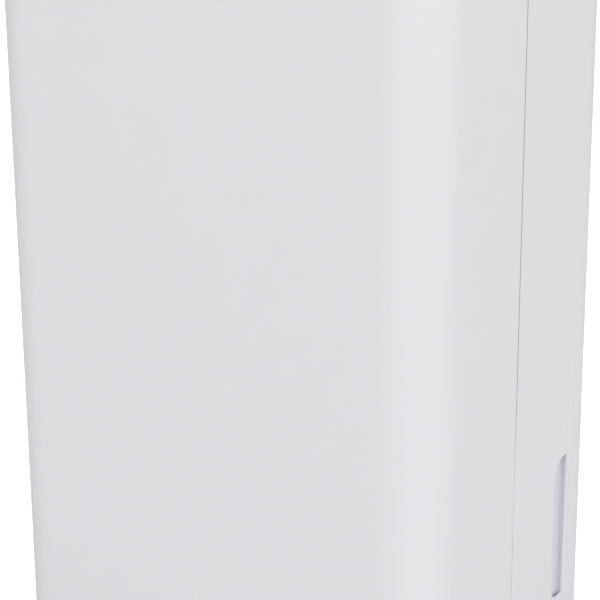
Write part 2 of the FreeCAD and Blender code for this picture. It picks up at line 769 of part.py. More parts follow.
# ---------------------------------------------------------------- castors
def castor(corner, s, t):
    """One swivel castor: the fork with its stem and axle pin, and the wheel."""
    trail = "castor_trail"
    axle_z = "wheel_radius"
    crown = rod("crown_radius", "crown_thick", ("0", "0", "crown_low"))
    stem = rod("stem_radius", "stem_length", ("0", "0", "crown_top"))
    cheeks = []
    for side in (-1, 1):
        x = sorted_pair(f"{side} * cheek_inner", f"{side} * (cheek_inner + cheek)")
        cheeks.append(
            box(x, (f"{trail} - cheek_depth / 2", f"{trail} + cheek_depth / 2"), (axle_z, "crown_low"))
        )
        cheeks.append(
            box(x, ("-cheek_depth / 2", f"{trail} + cheek_depth / 2"), ("crown_low - 3", "crown_low + 1"))
        )
        cheeks.append(rod("cheek_depth / 2", "cheek", (x[0], trail, axle_z), "x"))
    bridge = box(
        both("cheek_inner + cheek"),
        ("-cheek_depth / 2", f"{trail} + cheek_depth / 2"),
        ("crown_low", "crown_top - 0.5"),
    )
    pin_hole = rod("axle_radius", "4 * wheel_width", ("-2 * wheel_width", trail, axle_z), "x")
    fork = cut(join(crown, stem, bridge, *cheeks), pin_hole)
    axle = rod("axle_radius", "2 * (cheek_inner + cheek)", ("-(cheek_inner + cheek)", trail, axle_z), "x")
    keep("castor_fork_" + corner, place(group(fork, axle), f"{s} * castor_x", f"{t} * castor_y"))
    tyre = doc.addObject("Part::Fillet", "Tyre")
    tyre.Base = rod("wheel_radius", "wheel_width", ("-wheel_width / 2", trail, axle_z), "x")
    doc.recompute()
    tyre.Edges = [
        (n, 1.2, 1.2) for n, edge in enumerate(tyre.Base.Shape.Edges, start=1) if len(edge.Vertexes) == 1
    ]
    bore = rod("axle_radius + turn_gap", "wheel_width + 2", ("-wheel_width / 2 - 1", trail, axle_z), "x")
    dishes = [
        rod("wheel_radius - 4", "1.5", (x, trail, axle_z), "x")
        for x in ("-wheel_width / 2 - 0.2", "wheel_width / 2 - 1.3")
    ]
    hubs = [
        rod("axle_radius + 2", "1.5", (x, trail, axle_z), "x")
        for x in ("-wheel_width / 2", "wheel_width / 2 - 1.5")
    ]
    wheel = cut(join(cut(tyre, *dishes), *hubs), bore)
    keep("castor_wheel_" + corner, place(wheel, f"{s} * castor_x", f"{t} * castor_y"))


# ---------------------------------------------------------------- tank
def tank_bin():
    """The bin, with its rim, and the pads that its sides show behind the finger notches."""
    bin_part = Moulding("tank_bin")
    outer = rect(both("bin_side"), ("bin_front", "inner_rear"), low="12", high="20")
    bin_part.pad("XY", ("bin_low", "bin_top"), outer)
    bin_part.round("5", level("bin_low"))
    bin_part.pad(
        "XY",
        ("bin_top - 3", "bin_top"),
        rect(both("bin_side + rim_width"), ("bin_front + 14", "inner_rear - 30")),
    )
    hollow = rect(
        both("bin_side - tank_wall"),
        ("bin_front + tank_wall", "inner_rear - tank_wall"),
        low="10",
        high="18",
    )
    bin_part.pocket("XY", ("bin_low + tank_wall", "bin_top"), hollow)
    bin_part.round("3", level("bin_low + tank_wall"))
    upright, inside = ("notch_low - 3", "notch_top + 3"), ("notch_low - 1", "notch_top + 1")
    for s in (-1, 1):
        face = f"{s} * (side - recess_depth)"
        bin_part.pad(
            "YZ", sorted_pair(f"{s} * (bin_side - 1)", face), rect(("notch_y - 3", "flange_y + 3"), upright)
        )
        bin_part.pad(
            "YZ",
            sorted_pair(f"{s} * (bin_side - 1)", f"{s} * (inner_side - fit_gap)"),
            rect(("flange_y + fit_gap", "flange_y + 3"), upright),
        )
        dent = sorted_pair(f"{s} * (bin_side - tank_wall - 1)", f"{s} * (side - recess_depth - tank_wall)")
        bin_part.pocket("YZ", dent, rect(("notch_y - 1", "flange_y + 1"), inside))


def tank_panel():
    """The panel that closes the cabinet's back below the shelf, with a flange at each side."""
    panel = Moulding("tank_panel")
    span = ("tank_low", "tank_top")
    panel.pad("XY", span, rect(both("side"), ("flange_y", "rear"), high="rear_radius"))
    panel.pocket(
        "XY", span, rect(both("inner_side"), ("flange_y - 1", "inner_rear"), high="rear_radius - wall")
    )
    panel.round("2", along("z", x="side", y="flange_y"))
    panel.round("edge_round", level("tank_top"))
    panel.pad(
        "XY",
        ("bin_top + lid_thick + 4", "bin_top + lid_thick + 6"),
        rect(both("bin_side - 25"), ("inner_rear - 8", "inner_rear")),
    )


def tank_lid():
    """The bin's lid, with the drip hole and the two ears that carry the float."""
    lid = Moulding("tank_lid")
    lid.pad(
        "XY",
        ("bin_top", "lid_top"),
        rect(both("bin_side + 2"), ("bin_front + 1", "inner_rear - 0.5"), low="12", high="22"),
    )
    hole_x, hole_y = both("lid_hole_width / 2"), (
        "spout_y - lid_hole_depth / 2", "spout_y + lid_hole_depth / 2"
    )
    lid.pad(
        "XY",
        ("lid_top", "lid_top + 2"),
        rect(
            both("lid_hole_width / 2 + 3"),
            ("spout_y - lid_hole_depth / 2 - 3", "spout_y + lid_hole_depth / 2 + 3"),
        ),
    )
    lid.pocket("XY", ("bin_top - 1", "lid_top + 3"), rect(hole_x, hole_y))
    lid.round(
        "8",
        along("z", x="lid_hole_width / 2", y=hole_y[0]),
        along("z", x="lid_hole_width / 2", y=hole_y[1]),
    )
    for y in ("54", "68.5"):
        lid.pad("XZ", (y, f"{y} + 2.5"), rect(("float_x - 5", "float_x + 5"), ("float_z - 4", "bin_top")))
    lid.pocket("XZ", ("50", "75"), disc("float_x", "float_z", "float_pin + turn_gap"))


def tank_float():
    """The float on its arm, with the pin that turns in the lid's ears."""
    arm = Moulding("tank_float")
    arm.pad("XZ", ("57.5", "67.5"), disc("float_x", "float_z", "3.6"))
    arm.pad("XZ", ("60", "65"), rect(("float_x - 43", "float_x"), ("float_z - 3.6", "float_z - 0.4")))
    arm.pad(
        "XZ",
        ("46", "79"),
        rect(("float_x - 89", "float_x - 43"), ("float_z - 26", "float_z"), low="4", high="4"),
    )
    arm.pad("XZ", ("53", "72"), disc("float_x", "float_z", "float_pin"))


# ---------------------------------------------------------------- air path
def intake_grille():
    """The hinged grille of slats, with the two hooks that hold the filter."""
    grille = Moulding("intake_grille")
    depth = ("grille_front", "grille_rear")
    grille.pad("XZ", depth, rect(both("grille_half"), ("grille_low", "grille_top")))
    grille.round("hinge_radius - 0.01", along("x", y="grille_rear", z="grille_low"))
    grille.round("3", along("y", x="grille_half", z="grille_top"))
    edge = "grille_half - grille_border"
    half = "grille_mullion / 2"
    third = f"({edge}) / 2"
    bays = [
        (f"-({edge})", f"-{third} - {half}"), (f"-{third} + {half}", f"-{half}"),
        (half, f"{third} - {half}"), (f"{third} + {half}", edge),
    ]
    first = "grille_low + grille_border + 2"
    grille.pocket(
        "XZ",
        ("grille_front - 1", "grille_rear + 1"),
        *[rect(bay, (first, f"{first} + slat_slot")) for bay in bays],
    )
    grille.repeat("Z", "slat_pitch", "floor((grille_top - grille_low - 2 * grille_border) / slat_pitch)")
    grille.pocket(
        "XZ", ("grille_rear - 3", "grille_rear"), rect(both("22"), ("grille_top - 7", "grille_top + 1"))
    )
    grille.pad("YZ", both("grille_half + hinge_pin_length"), disc("hinge_y", "hinge_z", "hinge_pin"))
    grille.pad(
        "XZ",
        ("filter_front + 1.5", "grille_front"),
        *[
            rect(pair, z)
            for pair in (both("12"),)
            for z in (("filter_top + 0.3", "filter_top + 2.3"), ("filter_low - 2.3", "filter_low - 0.3"))
        ],
    )


def dust_filter():
    """The filter's frame, in six windows, and its mesh."""
    frame = Moulding("filter_frame")
    frame.pad("XZ", ("filter_front", "filter_rear"), rect(both("filter_half"), ("filter_low", "filter_top")))
    frame.round(
        "4", along("y", x="filter_half", z="filter_top"), along("y", x="filter_half", z="filter_low")
    )
    inner_z = ("filter_low + filter_border", "filter_top - filter_border")
    middle = "(filter_low + filter_top) / 2"
    edge = "filter_half - filter_border"
    windows = [
        rect(x, z)
        for x in (
            (f"-({edge})", f"-({edge}) / 3 - 1.5"),
            both(f"({edge}) / 3 - 1.5"),
            (f"({edge}) / 3 + 1.5", edge),
        )
        for z in ((inner_z[0], f"{middle} - 1.5"), (f"{middle} + 1.5", inner_z[1]))
    ]
    frame.pocket("XZ", ("filter_front - 1", "filter_rear + 1"), *windows)
    frame.pocket(
        "XZ",
        ("filter_front + 2.5", "filter_front + 3.5"),
        rect(both(f"{edge} + 2"), ("filter_low + filter_border - 2", "filter_top - filter_border + 2")),
    )
    mesh = Moulding("filter_mesh")
    mesh.pad(
        "XZ",
        ("filter_front + 2.7", "filter_front + 3.3"),
        rect(
            both(f"{edge} + 1.8"), ("filter_low + filter_border - 1.8", "filter_top - filter_border + 1.8")
        ),
    )


def outlet_grille():
    """The fixed vanes in the top cover's collar."""
    vanes = Moulding("outlet_grille")
    half = "flap_half"
    vanes.pad("XY", ("vane_low", "vane_high"), rect(both(half), ("flap_front", "flap_rear")))
    first = f"4 - ({half})"
    vanes.pocket(
        "XY",
        ("vane_low - 1", "vane_high + 1"),
        *[
            rect((first, f"{first} + vane_slot"), y)
            for y in (
                ("flap_front + 4", "(flap_front + flap_rear) / 2 - 1.2"),
                ("(flap_front + flap_rear) / 2 + 1.2", "flap_rear - 4"),
            )
        ],
    )
    vanes.repeat("X", "vane_pitch", f"floor((2 * ({half}) - 8 + 2) / vane_pitch)")


def louver_flap():
    """The ribbed flap that closes over the outlet, with its hinge barrel and pins."""
    flap = Moulding("louver_flap")
    flap_x = both("flap_half - slide_gap")
    flap.pad(
        "XY",
        ("body_height - flap_thick", "body_height"),
        rect(flap_x, ("flap_front + slide_gap", "flap_axis_y")),
    )
    flap.round("2", along("z", x="flap_half - slide_gap", y="flap_front + slide_gap"))
    flap.round("1", along("x", y="flap_front + slide_gap", z="body_height"))
    flap.pad("YZ", flap_x, disc("flap_axis_y", "flap_axis_z", "barrel_radius"))
    flap.pad("YZ", both("flap_half + flap_pin_length"), disc("flap_axis_y", "flap_axis_z", "flap_pin"))
    flap.pad("XY", ("body_height - flap_thick - 3", "body_height - flap_thick"), *[
        rect((f"{x} - 0.8", f"{x} + 0.8"), ("flap_front + 8", "flap_axis_y")) for x in (-76, -25, 25, 76)
    ])


def spiral(grow):
    """The scroll's outline on the XZ plane, grown outwards by an amount, closed across its mouth."""
    z, tight, wide = number("fan_z"), number("scroll_tight") + grow, number("scroll_wide") + grow
    top = number("scroll_top") + (1 if grow <= 0 else 0)
    rise = number("scroll_wide - scroll_tight")
    tongue = math.radians(48)

    def point(radius, angle, centre_z):
        return Vector(radius * math.cos(angle), 0, centre_z + radius * math.sin(angle))

    start = point(tight, tongue, z)
    low = Vector(0, 0, z - tight)
    west = Vector(-wide, 0, z + rise)
    edges = [
        Part.Arc(start, point(tight, math.radians(-20), z), low).toShape(),
        Part.Arc(low, point(wide, math.radians(225), z + rise), west).toShape(),
        Part.LineSegment(west, Vector(-wide, 0, top)).toShape(),
        Part.LineSegment(Vector(-wide, 0, top), Vector(wide, 0, top)).toShape(),
        Part.LineSegment(Vector(wide, 0, top), start).toShape(),
    ]
    return Part.Face(Part.Wire(edges))


def extruded(face, low, high):
    """A face on the XZ plane made solid between two depths."""
    moved = face.copy()
    moved.translate(Vector(0, low, 0))
    return moved.extrude(Vector(0, high - low, 0))


def scroll():
    """The fan's scroll, in two halves."""
    skin, front, rear, z = 2.2, number("scroll_front"), number("scroll_rear"), number("fan_z")
    shell = extruded(spiral(skin), front, rear).cut(extruded(spiral(0), front + skin, rear - skin))
    axis = Vector(0, 1, 0)
    inlet = Part.makeCylinder(number("wheel_fan_radius") - 12, 20, Vector(0, rear - 10, z), axis)
    nose = Part.makeCylinder(24, 20, Vector(0, front - 10, z), axis)
    shell = shell.cut(inlet).cut(nose)
    split = (front + rear) / 2
    whole = Part.makeBox(400, 200, 400, Vector(-200, split, z - 200))
    shaped("scroll_rear_half", shell.common(whole))
    shaped("scroll_front_half", shell.cut(whole))


def fan_wheel():
    """The drum wheel: a disc, a ring and the curved blades between them, round a hub."""
    axis = Vector(0, 1, 0)
    radius, low, high = number("wheel_fan_radius"), number("wheel_fan_front"), number("wheel_fan_rear")
    root, thick, count = radius - number("blade_depth"), number("blade_thick"), int(number("blade_count"))
    lean = math.radians(9)
    ends = [
        Vector(r * math.cos(a), 0, r * math.sin(a))
        for r, a in ((root, 0), ((root + radius) / 2, lean * 0.25), (radius - 1, lean))
    ]
    line = Part.Arc(*ends).toShape()
    offset = [v + Vector(0, 0, thick) for v in ends]
    outline = Part.Wire(
        [
            line,
            Part.LineSegment(ends[2], offset[2]).toShape(),
            Part.Arc(*offset[::-1]).toShape(),
            Part.LineSegment(offset[0], ends[0]).toShape(),
        ]
    )
    blade = extruded(Part.Face(outline), low + 1, high - 1)
    blades = []
    for k in range(count):
        turned = blade.copy()
        turned.rotate(Vector(), axis, 360 * k / count)
        blades.append(turned)
    disc_plate = Part.makeCylinder(radius, 2, Vector(0, low, 0), axis)
    ring = Part.makeCylinder(radius, 3, Vector(0, high - 3, 0), axis).cut(
        Part.makeCylinder(root, 9, Vector(0, high - 6, 0), axis)
    )
    hub = Part.makeCylinder(11, 26, Vector(0, low, 0), axis)
    wheel = disc_plate.multiFuse([ring, hub] + blades).cut(
        Part.makeCylinder(number("shaft_radius"), 200, Vector(0, low - 50, 0), axis)
    )
    place(shaped("fan_wheel", wheel), z="fan_z")


def fan_motor():
    """The fan motor with its bracket, and the shaft through it."""
    keep(
        "motor_shaft",
        rod(
            "shaft_radius", "wheel_fan_front + 26 - motor_front + 6", ("0", "motor_front - 6", "fan_z"), "y"
        ),
    )
    motor = Moulding("fan_motor")
    motor.pad("XZ", ("motor_front", "scroll_front - 3"), disc("0", "fan_z", "motor_radius"))
    motor.round(
        "5", lambda edge: abs(edge.BoundBox.YMax - number("motor_front")) < 1e-3 and len(edge.Vertexes) == 1
    )
    motor.pad(
        "XZ",
        ("scroll_front - 3", "scroll_front"),
        disc("0", "fan_z", "20"),
        *[rect(pair, ("fan_z - 6", "fan_z + 6")) for pair in (("-54", "-21"), ("21", "54"))],
    )
    motor.pad("XZ", ("scroll_front - 8", "scroll_front - 2"), rect(both("54"), ("fan_z - 6", "fan_z + 6")))
    motor.pad("XZ", ("motor_front - 4", "motor_front"), disc("0", "fan_z", "13"))
    motor.pocket(
        "XZ", ("motor_front - 5", "scroll_front + 1"), disc("0", "fan_z", "shaft_radius + turn_gap")
    )


# ---------------------------------------------------------------- coils and pipes
def tube(points, radius, bend):
    """A tube along straight runs joined by tangent arcs; checks its volume against its length."""
    path, start = [], points[0]
    for before, corner, after in zip(points, points[1:], points[2:]):
        into, out = (corner - before).normalize(), (after - corner).normalize()
        turn = math.acos(max(-1.0, min(1.0, into.dot(out))))
        reach = bend * math.tan(turn / 2)
        first, last = corner - into * reach, corner + out * reach
        middle = corner + (out - into).normalize() * (bend / math.cos(turn / 2) - bend)
        path.append(Part.LineSegment(start, first).toShape())
        path.append(Part.Arc(first, middle, last).toShape())
        start = last
    path.append(Part.LineSegment(start, points[-1]).toShape())
    wire = Part.Wire(path)
    section = Part.Wire([Part.Circle(points[0], points[1] - points[0], radius).toShape()])
    solid = wire.makePipeShell([section], True, False)
    if abs(solid.Volume / (math.pi * radius**2 * wire.Length) - 1) > 0.01:
        raise ValueError("a tube's volume is not its section times its length")
    return solid


def coil(name, y, inset):
    """A finned coil: the stack of fins and the serpentine tube through them."""
    half, low, pitch = number("coil_half"), number("coil_low"), number("coil_pitch")
    rows = int(number("coil_rows"))
    depth, radius, thick = number("coil_depth"), number("coil_tube"), number("fin_thick")
    centre = number(y)
    levels = [low + pitch / 2 + pitch * k for k in range(rows)]
    fin = Part.makeBox(thick, depth, pitch * rows, Vector(0, centre - depth / 2, low))
    for height in levels:
        fin = fin.cut(Part.makeCylinder(radius, 4, Vector(-2, centre, height), Vector(1, 0, 0)))
    fins = []
    count = int(2 * half / number("fin_pitch"))
    for k in range(count + 1):
        plate = fin.copy()
        plate.translate(Vector(-half + k * number("fin_pitch"), 0, 0))
        fins.append(plate)
    shaped(name + "_fins", Part.makeCompound(fins))
    end = half + inset
    points = []
    for k, height in enumerate(levels):
        ends = (-end - pitch / 2, end + pitch / 2) if k % 2 == 0 else (end + pitch / 2, -end - pitch / 2)
        points += [Vector(x, centre, height) for x in ends]
    points[0].x = -end + 2
    points[-1].x = -end + 2 if rows % 2 == 0 else end - 2
    shaped(name + "_tube", tube(points, radius, pitch / 2 - 0.01))


def coil_housing():
    """The duct round both coils, with the bosses of the case screws, and the drip tray in it."""
    housing = Moulding("coil_housing")
    housing.pad(
        "XZ", ("coilbox_front", "coilbox_rear"), rect(both("coilbox_half"), ("coilbox_low", "coilbox_top"))
    )
    housing.round(
        "4", along("y", x="coilbox_half", z="coilbox_low"), along("y", x="coilbox_half", z="coilbox_top")
    )
    housing.pocket(
        "XZ",
        ("coilbox_front - 1", "coilbox_rear + 1"),
        rect(both("coilbox_half - 2"), ("coilbox_low + 2", "coilbox_top - 2")),
    )
    for s in (-1, 1):
        for x, z, web in (
            ("screw_low_x", "screw_low_z", ("coilbox_low", "screw_low_z")),
            ("screw_high_x", "screw_high_z", ("coilbox_top - 2", "screw_high_z")),
        ):
            housing.pad(
                "XZ",
                ("coilbox_rear - 12" if x == "screw_high_x" else "coilbox_rear - 1.5", "screw_seat - 5.2"),
                disc(f"{s} * {x}", z, "screw_boss"),
            )
            housing.pad(
                "XZ",
                ("coilbox_rear - 12" if x == "screw_high_x" else "coilbox_rear - 1.5", "coilbox_rear"),
                rect((f"{s} * {x} - 2", f"{s} * {x} + 2"), web),
            )
            housing.pocket(
                "XZ", ("screw_seat - 16", "screw_seat - 5"), disc(f"{s} * {x}", z, "screw_radius")
            )
    housing.pocket("XY", ("coilbox_low - 1", "coilbox_low + 3"), disc("0", "spout_y", "tray_spout + 1"))
    housing.pocket(
        "YZ",
        ("-coilbox_half - 1", "-coilbox_half + 3"),
        *[
            disc(y, z, "pipe_radius + 1.5")
            for y in ("condenser_y", "evaporator_y")
            for z in ("pass_low", "pass_high")
        ],
    )
    tray = Moulding("drip_tray")
    inside = both("coilbox_half - 3")
    reach = ("coilbox_front + 2", "coilbox_rear - 5")
    tray.pad("XY", ("tray_low", "tray_high"), rect(inside, reach))
    tray.pocket(
        "XY",
        ("tray_low + 2", "tray_high"),
        rect(both("coilbox_half - 5"), ("coilbox_front + 4", "coilbox_rear - 7")),
    )
    tray.pad(
        "XY",
        ("tray_low + 1", "coil_low"),
        *[
            rect(both("4") if x == 0 else (f"{x} - 4", f"{x} + 4"), y)
            for x in (-80, 80)
            for y in (("condenser_y - 8", "condenser_y + 8"), ("evaporator_y - 8", "evaporator_y + 8"))
        ],
    )
    tray.pad("XY", ("spout_low", "tray_low + 0.5"), disc("0", "spout_y", "tray_spout"))
    tray.pocket("XY", ("spout_low", "tray_high"), disc("0", "spout_y", "tray_spout - 1.5"))


def refrigerant_pipes():
    """The discharge pipe to the condenser and the suction pipe from the evaporator."""
    top, first, end = number("pass_high"), number("pass_low"), -number("coil_half") - 1
    condenser, evaporator = number("condenser_y"), number("evaporator_y")
    radius, bend = number("pipe_radius"), number("pipe_bend")

    x, y, z = number("compressor_x"), number("compressor_y"), number("discharge_z")
    riser_x, riser_y = number("riser_x"), number("riser_y")
    discharge = [
        Vector(x, y, number("compressor_high")),
        Vector(x, y, z),
        Vector(riser_x, y, z),
        Vector(riser_x, riser_y, z),
        Vector(riser_x, riser_y, top),
        Vector(riser_x, condenser, top),
        Vector(end, condenser, top),
    ]
    shaped("discharge_pipe", tube(discharge, radius, bend))

    x, y = number("accumulator_x"), number("accumulator_y")
    drop_x, drop_y = number("drop_x"), number("drop_y")
    high, low = number("suction_high"), number("suction_low")
    suction = [
        Vector(end, evaporator, top),
        Vector(drop_x, evaporator, top),
        Vector(drop_x, evaporator, high),
        Vector(drop_x, drop_y, high),
        Vector(drop_x, drop_y, low),
        Vector(x, y, low),
        Vector(x, y, 204),
    ]
    shaped("suction_pipe", tube(suction, radius, bend))


def liquid_line():
    """The filter drier with the condenser's outlet pipe, and the capillary tube to the evaporator."""
    first, end = number("pass_low"), -number("coil_half") - 1
    condenser, evaporator = number("condenser_y"), number("evaporator_y")
    x, low, high = number("drier_x"), number("drier_low"), number("capillary_high")
    outlet = [Vector(end, condenser, first), Vector(x, condenser, first), Vector(x, condenser, low - 4)]
    can = Part.makeCylinder(9, 62, Vector(x, condenser, low))
    neck = Part.makeCylinder(4.4, 74, Vector(x, condenser, low - 6))
    shaped("filter_drier", can.fuse([neck, tube(outlet, 3.2, 8)]))
    capillary = [
        Vector(x, condenser, low + 68),
        Vector(x, condenser, high),
        Vector(x, evaporator, high),
        Vector(x, evaporator, first),
        Vector(end, evaporator, first),
    ]
    shaped("capillary_tube", tube(capillary, number("capillary_radius"), 8))


def compressor():
    """The sealed compressor, on three feet."""
    x, y, radius = "compressor_x", "compressor_y", "compressor_radius"
    can = doc.addObject("Part::Fillet", "Can")
    can.Base = rod(radius, "compressor_high - compressor_low", (x, y, "compressor_low"))
    doc.recompute()
    can.Edges = [
        (n, 16, 16)
        for n, edge in enumerate(can.Base.Shape.Edges, start=1)
        if abs(edge.BoundBox.ZLength) < 1e-3
    ]
    hollow = rod(f"{radius} - 4", "compressor_high - compressor_low - 60", (x, y, "compressor_low + 40"))
    feet, holes = [], []
    for angle in (0, 120, 240):
        arm = box(("0", "foot_circle + 6"), ("-7", "7"), ("foot_low", "foot_low + foot_thick"))
        arm.Placement = FreeCAD.Placement(Vector(), FreeCAD.Rotation(Vector(0, 0, 1), angle))
        feet.append(place(arm, f"{x} + 7 * sin({angle})", f"{y} - 7 * cos({angle})", "foot_low"))
        holes.append(
            rod(
                "4.5",
                "20",
                (f"{x} + foot_circle * cos({angle})", f"{y} + foot_circle * sin({angle})", "foot_low - 8"),
            )
        )
    neck = rod("30", "compressor_low + 4 - foot_low", (x, y, "foot_low"))
    keep("compressor", cut(join(can, neck, *feet), hollow, *holes))


def compressor_mounts():
    """The rubber grommet, the stud and the nut at each of the compressor's feet."""
    x, y = "compressor_x", "compressor_y"
    grommets, nuts = [], []
    for angle in (0, 120, 240):
        at = (f"{x} + foot_circle * cos({angle})", f"{y} + foot_circle * sin({angle})")
        lower = rod("grommet_radius", "foot_low - shell_low", (*at, "shell_low"))
        upper = rod("grommet_radius", "3", (*at, "foot_low + foot_thick"))
        bush = rod("4.5", "foot_thick + 2", (*at, "foot_low - 1"))
        grommets.append(cut(join(lower, upper, bush), rod("stud_radius", "60", (*at, "30"))))
        stud = rod("stud_radius", "foot_low + foot_thick + 10 - plate_low", (*at, "plate_low"))
        nut = doc.addObject("Part::Prism", "Nut")
        nut.Polygon = 6
        bind(nut, Circumradius="2 * stud_radius", Height="1.6 * stud_radius")
        nuts.append(join(stud, place(nut, *at, "foot_low + foot_thick + 3")))
    keep("compressor_grommets", group(*grommets))
    keep("compressor_studs", group(*nuts))


def accumulator():
    """The accumulator beside the compressor, joined to it by a stub of pipe."""
    x, y, radius = "compressor_x", "compressor_y", "compressor_radius"
    at = ("accumulator_x", "accumulator_y")
    can = doc.addObject("Part::Fillet", "Can")
    can.Base = rod("accumulator_radius", "110", (*at, "90"))
    doc.recompute()
    can.Edges = [
        (n, 9, 9)
        for n, edge in enumerate(can.Base.Shape.Edges, start=1)
        if abs(edge.BoundBox.ZLength) < 1e-3
    ]
    neck = rod("pipe_radius + 1.2", "6", (*at, "198"))
    stub = rod("pipe_radius", "30", (f"{x} + {radius} - 8", "accumulator_y", "118"), "x")
    keep("accumulator", cut(join(can, neck, stub), rod(radius, "60", (x, y, "100"))))


# ---------------------------------------------------------------- controls and electrics
def control_panel():
    """The control fascia and its display window."""
    fascia = Moulding("control_panel")
    fascia.pad(
        "XY",
        ("panel_low", "panel_low + panel_thick"),
        rect(both("panel_half"), ("panel_front", "panel_rear")),
    )
    fascia.round(
        "6", along("z", x="panel_half", y="panel_front"), along("z", x="panel_half", y="panel_rear")
    )
    fascia.round("0.5", level("panel_low + panel_thick"))
    fascia.pocket(
        "XY",
        ("panel_low", "panel_low + panel_thick"),
        *[disc(f"{k} * button_pitch", "button_y", "button_radius + 0.25") for k in (-2, -1, 0, 1, 2)],
    )
    fascia.pocket(
        "XY",
        ("panel_low", "panel_low + panel_thick"),
        rect(both("window_half"), ("window_front", "window_rear")),
    )
    window = Moulding("display_window")
    window.pad(
        "XY",
        ("panel_low", "panel_low + panel_thick - 0.2"),
        rect(both("window_half - 0.1"), ("window_front + 0.1", "window_rear - 0.1")),
    )


def buttons():
    """The five push buttons: a cap, a collar that stops it under the fascia, and a plunger."""
    for k, name in zip((-2, -1, 0, 1, 2), ("power", "mode", "timer", "speed", "humidity")):
        button = Moulding("button_" + name)
        x = f"{k} * button_pitch"
        button.pad("XY", ("panel_low - 3", "key_top"), disc(x, "button_y", "button_radius"))
        button.round("0.8", level("key_top"))
        button.pad("XY", ("panel_low - 3", "panel_low - 0.2"), disc(x, "button_y", "button_radius + 1.2"))
        button.pad("XY", ("button_low", "panel_low - 2"), disc(x, "button_y", "1.6"))


def control_board():
    """The board under the fascia, with its switches, its display and its posts."""
    board = Moulding("control_board")
    board.pad(
        "XY",
        ("board_low", "board_low + board_thick"),
        rect(both("panel_half + 1"), ("panel_front + 1", "panel_rear - 1")),
    )
    top = "board_low + board_thick"
    board.pad(
        "XY",
        (top, f"{top} + switch_high"),
        *[
            rect((f"{k} * button_pitch - 3", f"{k} * button_pitch + 3"), ("button_y - 3", "button_y + 3"))
            for k in (-2, -1, 0, 1, 2)
        ],
    )
    board.pad(
        "XY", (top, f"{top} + 8"), rect(both("window_half - 4"), ("window_front + 2", "window_rear - 2"))
    )
    board.pad(
        "XY",
        (top, "panel_low - 3.5"),
        *[
            disc(f"{s} * (panel_half - 1.5)", y, "2.4")
            for s in (-1, 1)
            for y in ("panel_rear - 12", "panel_front + 12")
        ],
    )


def handle():
    """The folding carrying handle and the two pins that it turns on."""
    grip = Moulding("carry_handle")
    outer, inner = "handle_half", "handle_half - arm_width"
    low, high = "pivot_z - arm_thick / 2", "pivot_z + arm_thick / 2"
    arms = [
        rect(sorted_pair(f"{s} * ({outer})", f"{s} * ({inner})"), ("pivot_y", "bar_rear")) for s in (-1, 1)
    ]
    grip.pad("XY", (low, high), *arms)
    grip.pad("XY", (low, high), rect(both(inner), ("bar_rear - bar_depth", "bar_rear")))
    for s in (-1, 1):
        grip.pad(
            "YZ",
            sorted_pair(f"{s} * ({outer})", f"{s} * ({inner})"),
            disc("pivot_y", "pivot_z", "arm_thick / 2"),
        )
    grip.round("8", along("z", x=outer, y="bar_rear"))
    grip.round("5", along("z", x=inner, y="bar_rear - bar_depth"))
    grip.round("3", along("x", y="bar_rear", z=high), along("x", y="bar_rear", z=low))
    grip.pocket("YZ", both(f"{outer} + 1"), disc("pivot_y", "pivot_z", "pivot_radius + turn_gap"))
    pins = [
        rod(
            "pivot_radius",
            "arm_width + well_half - handle_half + well_wall",
            (x, "pivot_y", "pivot_z"),
            "x",
        )
        for x in ("handle_half - arm_width", "-(well_half + well_wall)")
    ]
    keep("handle_pins", group(*pins))


def electrics():
    """The electrics box, with its board and the run capacitor."""
    case = Moulding("electrics_box")
    case.pad("XY", ("box_low", "box_high"), rect(("box_left", "box_right"), ("box_front", "box_rear")))
    case.pocket(
        "XZ",
        ("box_front", "box_rear - 2"),
        rect(("box_left + 2", "box_right - 2"), ("box_low + 2", "box_high - 2")),
    )
    case.pad(
        "XZ",
        ("box_rear - 8", "box_rear - 2"),
        *[
            disc(x, z, "3")
            for x in ("box_left + 10", "box_right - 10")
            for z in ("box_low + 70", "box_high - 12")
        ],
    )
    board = Moulding("main_board")
    board.pad(
        "XZ",
        ("box_rear - 8 - board_thick", "box_rear - 8"),
        rect(("box_left + 4", "box_right - 4"), ("box_low + 60", "box_high - 5")),
    )
    front = ("box_rear - 30", "box_rear - 8 - board_thick")
    board.pad(
        "XZ",
        front,
        rect(("box_left + 12", "box_left + 40"), ("box_high - 50", "box_high - 14")),
        rect(("box_right - 34", "box_right - 14"), ("box_low + 72", "box_low + 90")),
    )
    board.pad(
        "XZ",
        ("box_rear - 20", "box_rear - 8 - board_thick"),
        rect(("box_left + 50", "box_right - 14"), ("box_high - 60", "box_high - 52")),
    )
    keep(
        "run_capacitor",
        join(
            rod("19", "box_right - box_left - 14", ("box_left + 4", "box_front + 34", "box_low + 21"), "x"),
            rod("5", "box_right - box_left - 8", ("box_left + 4", "box_front + 34", "box_low + 21"), "x"),
        ),
    )


def sensors():
    """The switch that the tank's float works, and the humidity sensor over the intake."""
    reed = Moulding("tank_sensor")
    reed.pad("XZ", ("bay_wall_y - 9", "bay_wall_y"), rect(("-74", "-44"), ("208", "224")))
    reed.pad("XZ", ("bay_wall_y - 9", "bay_wall_y"), rect(("-80", "-38"), ("213", "219")))
    sensor = Moulding("humidity_sensor")
    sensor.pad(
        "XZ",
        ("inner_rear - 6", "inner_rear - 1"),
        rect(("70", "92"), ("intake_top + 3", "intake_top + 13")),
    )
    sensor.pad(
        "XZ", ("inner_rear - 1", "inner_rear"), rect(("74", "88"), ("intake_top + 5", "intake_top + 11"))
    )


